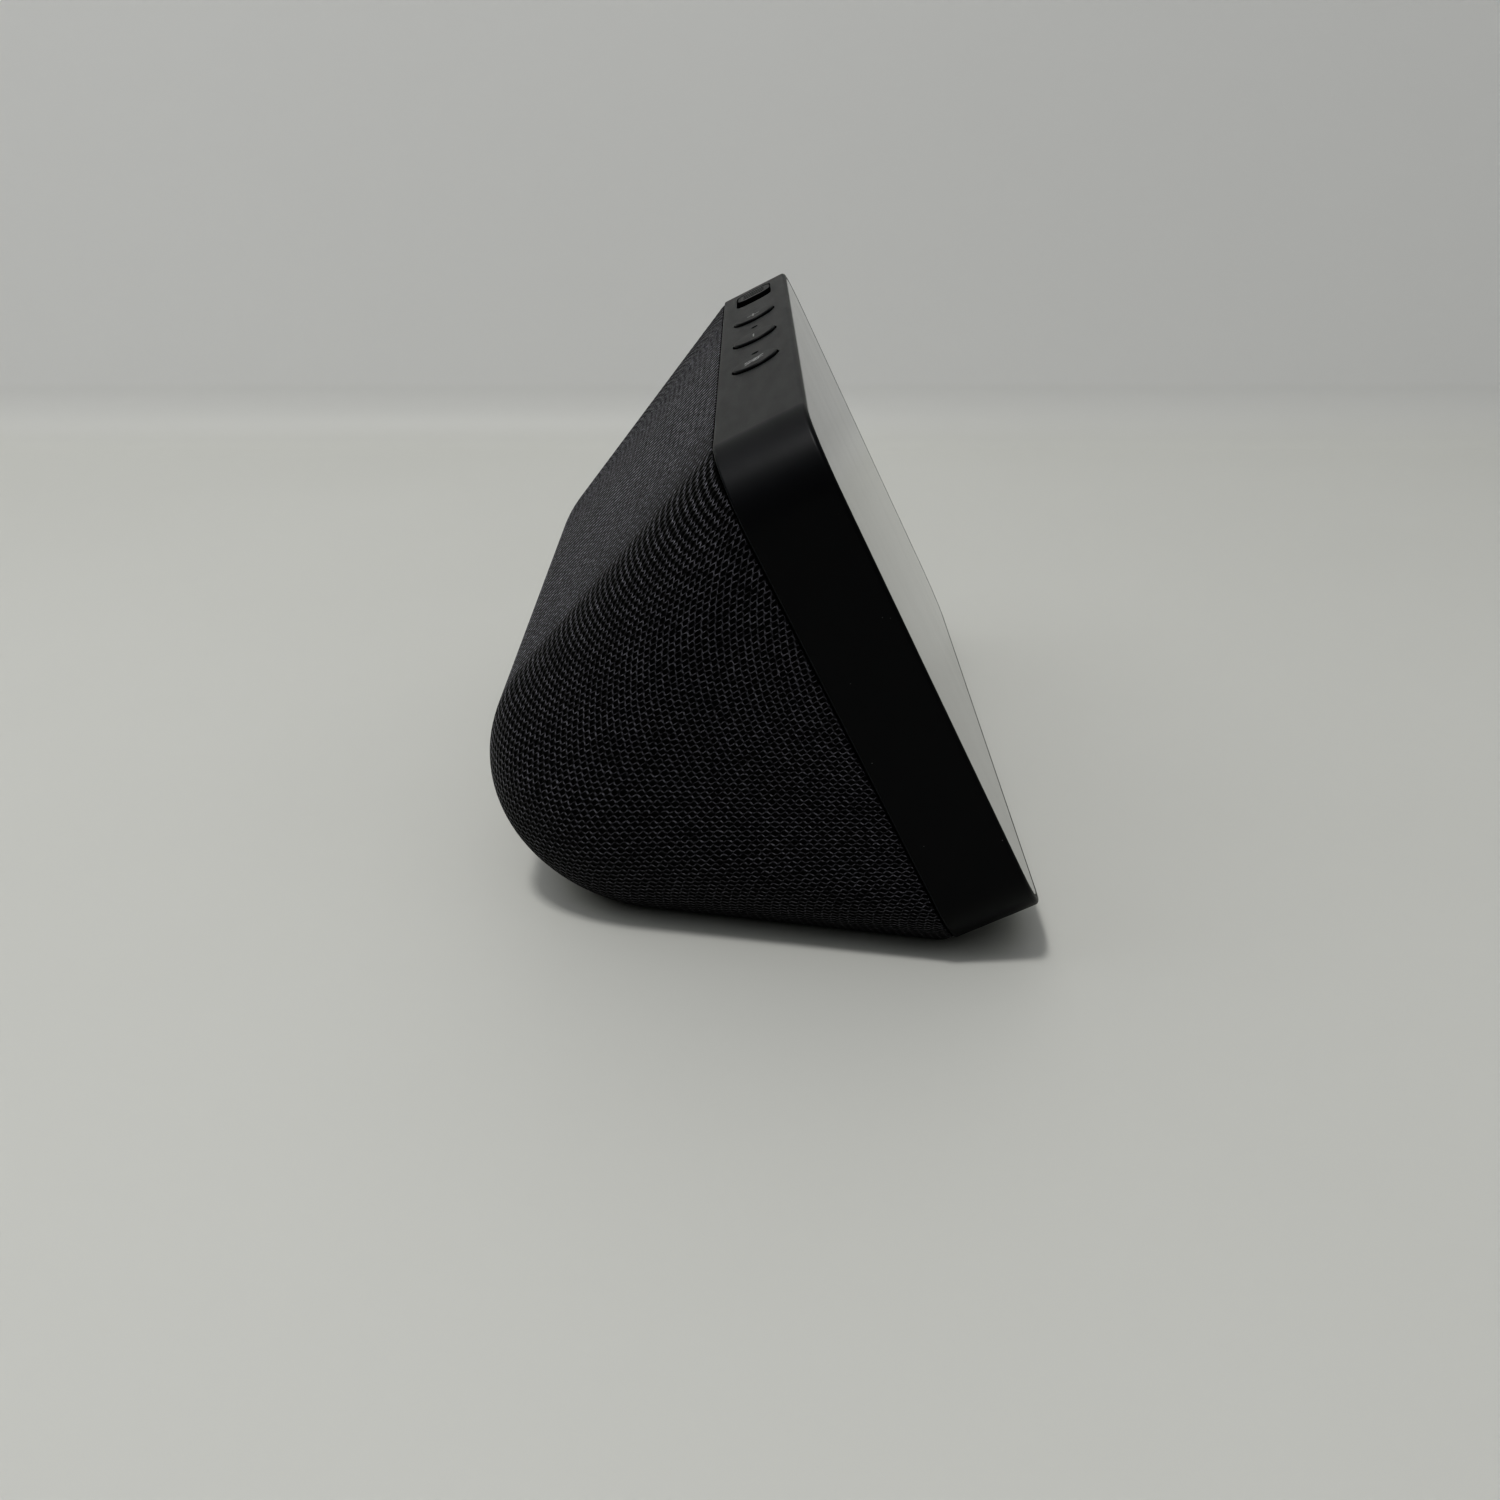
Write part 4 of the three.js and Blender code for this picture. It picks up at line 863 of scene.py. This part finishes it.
def make_fabric_cover():
    front = -FINE_GAP
    cover = hull_object("knit_cover", 0, (front, 3.0))
    surface = BVHTree.FromObject(cover, bpy.context.evaluated_depsgraph_get())
    remesh = cover.modifiers.new("grid", "REMESH")
    remesh.mode = "VOXEL"
    remesh.voxel_size = FABRIC_GRID
    apply_modifiers(cover)
    points = relaxed(cover.data, get_points(cover.data), 3, surface)
    points = relaxed(cover.data, points, RELAX_ROUNDS)
    set_points(cover.data, points)

    tilted = Matrix.Rotation(math.pi / 2 - TILT, 4, "X")
    socket = Matrix.Translation((SOCKET_X, 55, SOCKET_Z)) @ Matrix.Rotation(-math.pi / 2, 4, "X")
    cutters = [
        hull_object("lining", FABRIC_THICKNESS, (front, 6.0)),
        box("front_cut", (-90, -20, front), (90, 110, 20), tilted),
        stacked("base_cut", BASE_WIDTH, BASE_DEPTH, BASE_CORNER, [(0, -4), (0, 4)],
                Matrix.Translation((0, BASE_Y, 0)), steps=16),
        lathe("socket_cut", rod(SOCKET_HOLE, 0, 30), socket, 96),
    ]
    combine(cover, cutters)

    mesh = cover.data
    points = get_points(mesh)
    normals = vertex_normals(mesh)
    x, y, z = points.T
    lining_depth = np.array([surface.find_nearest(p)[3] for p in points])
    outer = lining_depth < FABRIC_THICKNESS * 0.5
    downwards = (normals[:, 2] < -0.93) & (z < FABRIC_UNDERSIDE + 0.3)
    row, column = knit_phases(x, y, z, downwards)
    left_weight, row_weight, opening_shade = knit_weights(x, z, np.where(downwards, 1, normals[:, 0]))
    behind = (y * math.cos(TILT) - z * math.sin(TILT)) + front
    near_base = rounded_box_distance(x, y - BASE_Y, BASE_WIDTH, BASE_DEPTH, BASE_CORNER)
    near_base = np.where(z < 3, near_base, EDGE_ROLL)
    near_socket = np.where(y > 50, np.hypot(x - SOCKET_X, z - SOCKET_Z) - SOCKET_HOLE, EDGE_ROLL)
    drop = edge_drop(behind) + edge_drop(np.maximum(near_base, 0)) + edge_drop(np.maximum(near_socket, 0))
    move = RELIEF / 2 * knit_height(row, column, left_weight, row_weight) - drop
    points = points + normals * (move * outer)[:, None]
    points = points @ np.array(BODY.to_3x3()).T + np.array(BODY.translation)
    lay_out_bake_map(mesh, np.stack([x, y, z], 1), normals)
    set_points(mesh, points)
    for name, values in zip(KNIT_LAYERS, (row, column, left_weight, row_weight, opening_shade)):
        layer = mesh.attributes.new(name, "FLOAT", "POINT")
        layer.data.foreach_set("value", values.astype(np.float32))
    mesh.shade_smooth()
    return finish_piece(cover, "housing", "knit_fabric", "fabric_cover")


make_display_frame()
make_cover_glass()
for button_name, place in BUTTON_PLACES.items():
    make_button(button_name, place)
make_shutter_knob()
make_fabric_cover()


# CAD nodes that stay ------------------------------------------------------------------------------------
def dress_cad_nodes():
    """Gives every CAD node the material of its slot."""
    slots = {part["node"]: part["material_slot"] for part in frame["record"]["subparts"]}
    for name, made in frame["nodes"].items():
        made.data.materials.clear()
        made.data.materials.append(MATERIALS[slots[name]])


dress_cad_nodes()


# Floor, backdrop and light ---------------------------------------------------------------------------------
def make_stage():
    """A pale table that bends up into a paler wall."""
    material, tree, shader = new_material("pale_table", Roughness=0.5, Specular_IOR_Level=0.3)
    tone = blend_colours(tree, noise(tree, 160, 3), grey(0.66, (1, 1, 0.945)), grey(0.71, (1, 1, 0.95)))
    up = node(tree, "SeparateXYZ", {0: node(tree, "NewGeometry", output="Position")}, output="Z")
    tone = blend_colours(tree, ramp(tree, up, 0, 1, 0.002, 0.02), tone, grey(0.88, (1, 1, 0.99)))
    tree.links.new(tone, shader.inputs["Base Color"])
    bend_start, bend_radius, wall_height = 0.25, 0.018, 1.0
    profile = [(-3.0, 0), (-1.0, 0)]
    profile += arc((bend_start, bend_radius), bend_radius, -90, 0, 15)
    profile.append((bend_start + bend_radius, wall_height))
    points = [(x, y, z) for y in (-3.0, 3.0) for x, z in profile]
    count = len(profile)
    faces = [(i, i + 1, count + i + 1, count + i) for i in range(count - 1)]
    sweep = mesh_object("table_and_wall", points, faces, Matrix.Identity(4))
    shade(sweep)
    sweep.data.materials.append(material)


def area_light(name, place, target, size, watts, colour=(1, 1, 1)):
    data = bpy.data.lights.new(name, "AREA")
    data.shape = "RECTANGLE"
    data.size, data.size_y = size
    data.energy = watts
    data.color = colour
    lamp = bpy.data.objects.new(name, data)
    lamp.location = place
    lamp.rotation_euler = (Vector(target) - Vector(place)).to_track_quat("-Z", "Y").to_euler()
    bpy.context.scene.collection.objects.link(lamp)


def make_room_light():
    """A dim room, lighter overhead, with one small ceiling light and two broad soft ones."""
    world = bpy.data.worlds.new("room")
    bpy.context.scene.world = world
    world.use_nodes = True
    tree = world.node_tree
    up = node(tree, "SeparateXYZ", {0: node(tree, "TexCoord", output="Generated")}, output="Z")
    tone = blend_colours(tree, ramp(tree, up, 0, 1, 0.0, 0.9), grey(0.115), grey(0.3, (0.97, 1, 1.03)))
    tree.links.new(tone, tree.nodes["Background"].inputs["Color"])
    area_light("ceiling", (-0.3, 0.3, 1.25), (0, 0, 0), (0.16, 0.16), 5.4, (1, 0.995, 0.965))
    area_light("side_fill", (0.05, 0.8, 1.0), (0, 0, 0), (1.0, 1.0), 2.3, (0.97, 0.99, 1))
    area_light("front_fill", (-0.6, 0.1, 1.1), (0, 0, 0), (1.0, 1.0), 0.85, (0.97, 0.99, 1))


def set_camera_response():
    """Plain colour transform with the deep blacks of a small camera."""
    view = bpy.context.scene.view_settings
    view.view_transform = "Standard"
    view.use_curve_mapping = True
    curve = view.curve_mapping.curves[3]
    for level, shown in ((0.02, 0.0045), (0.06, 0.034), (0.12, 0.105)):
        curve.points.new(level, shown)
    view.curve_mapping.update()


make_stage()
make_room_light()
set_camera_response()
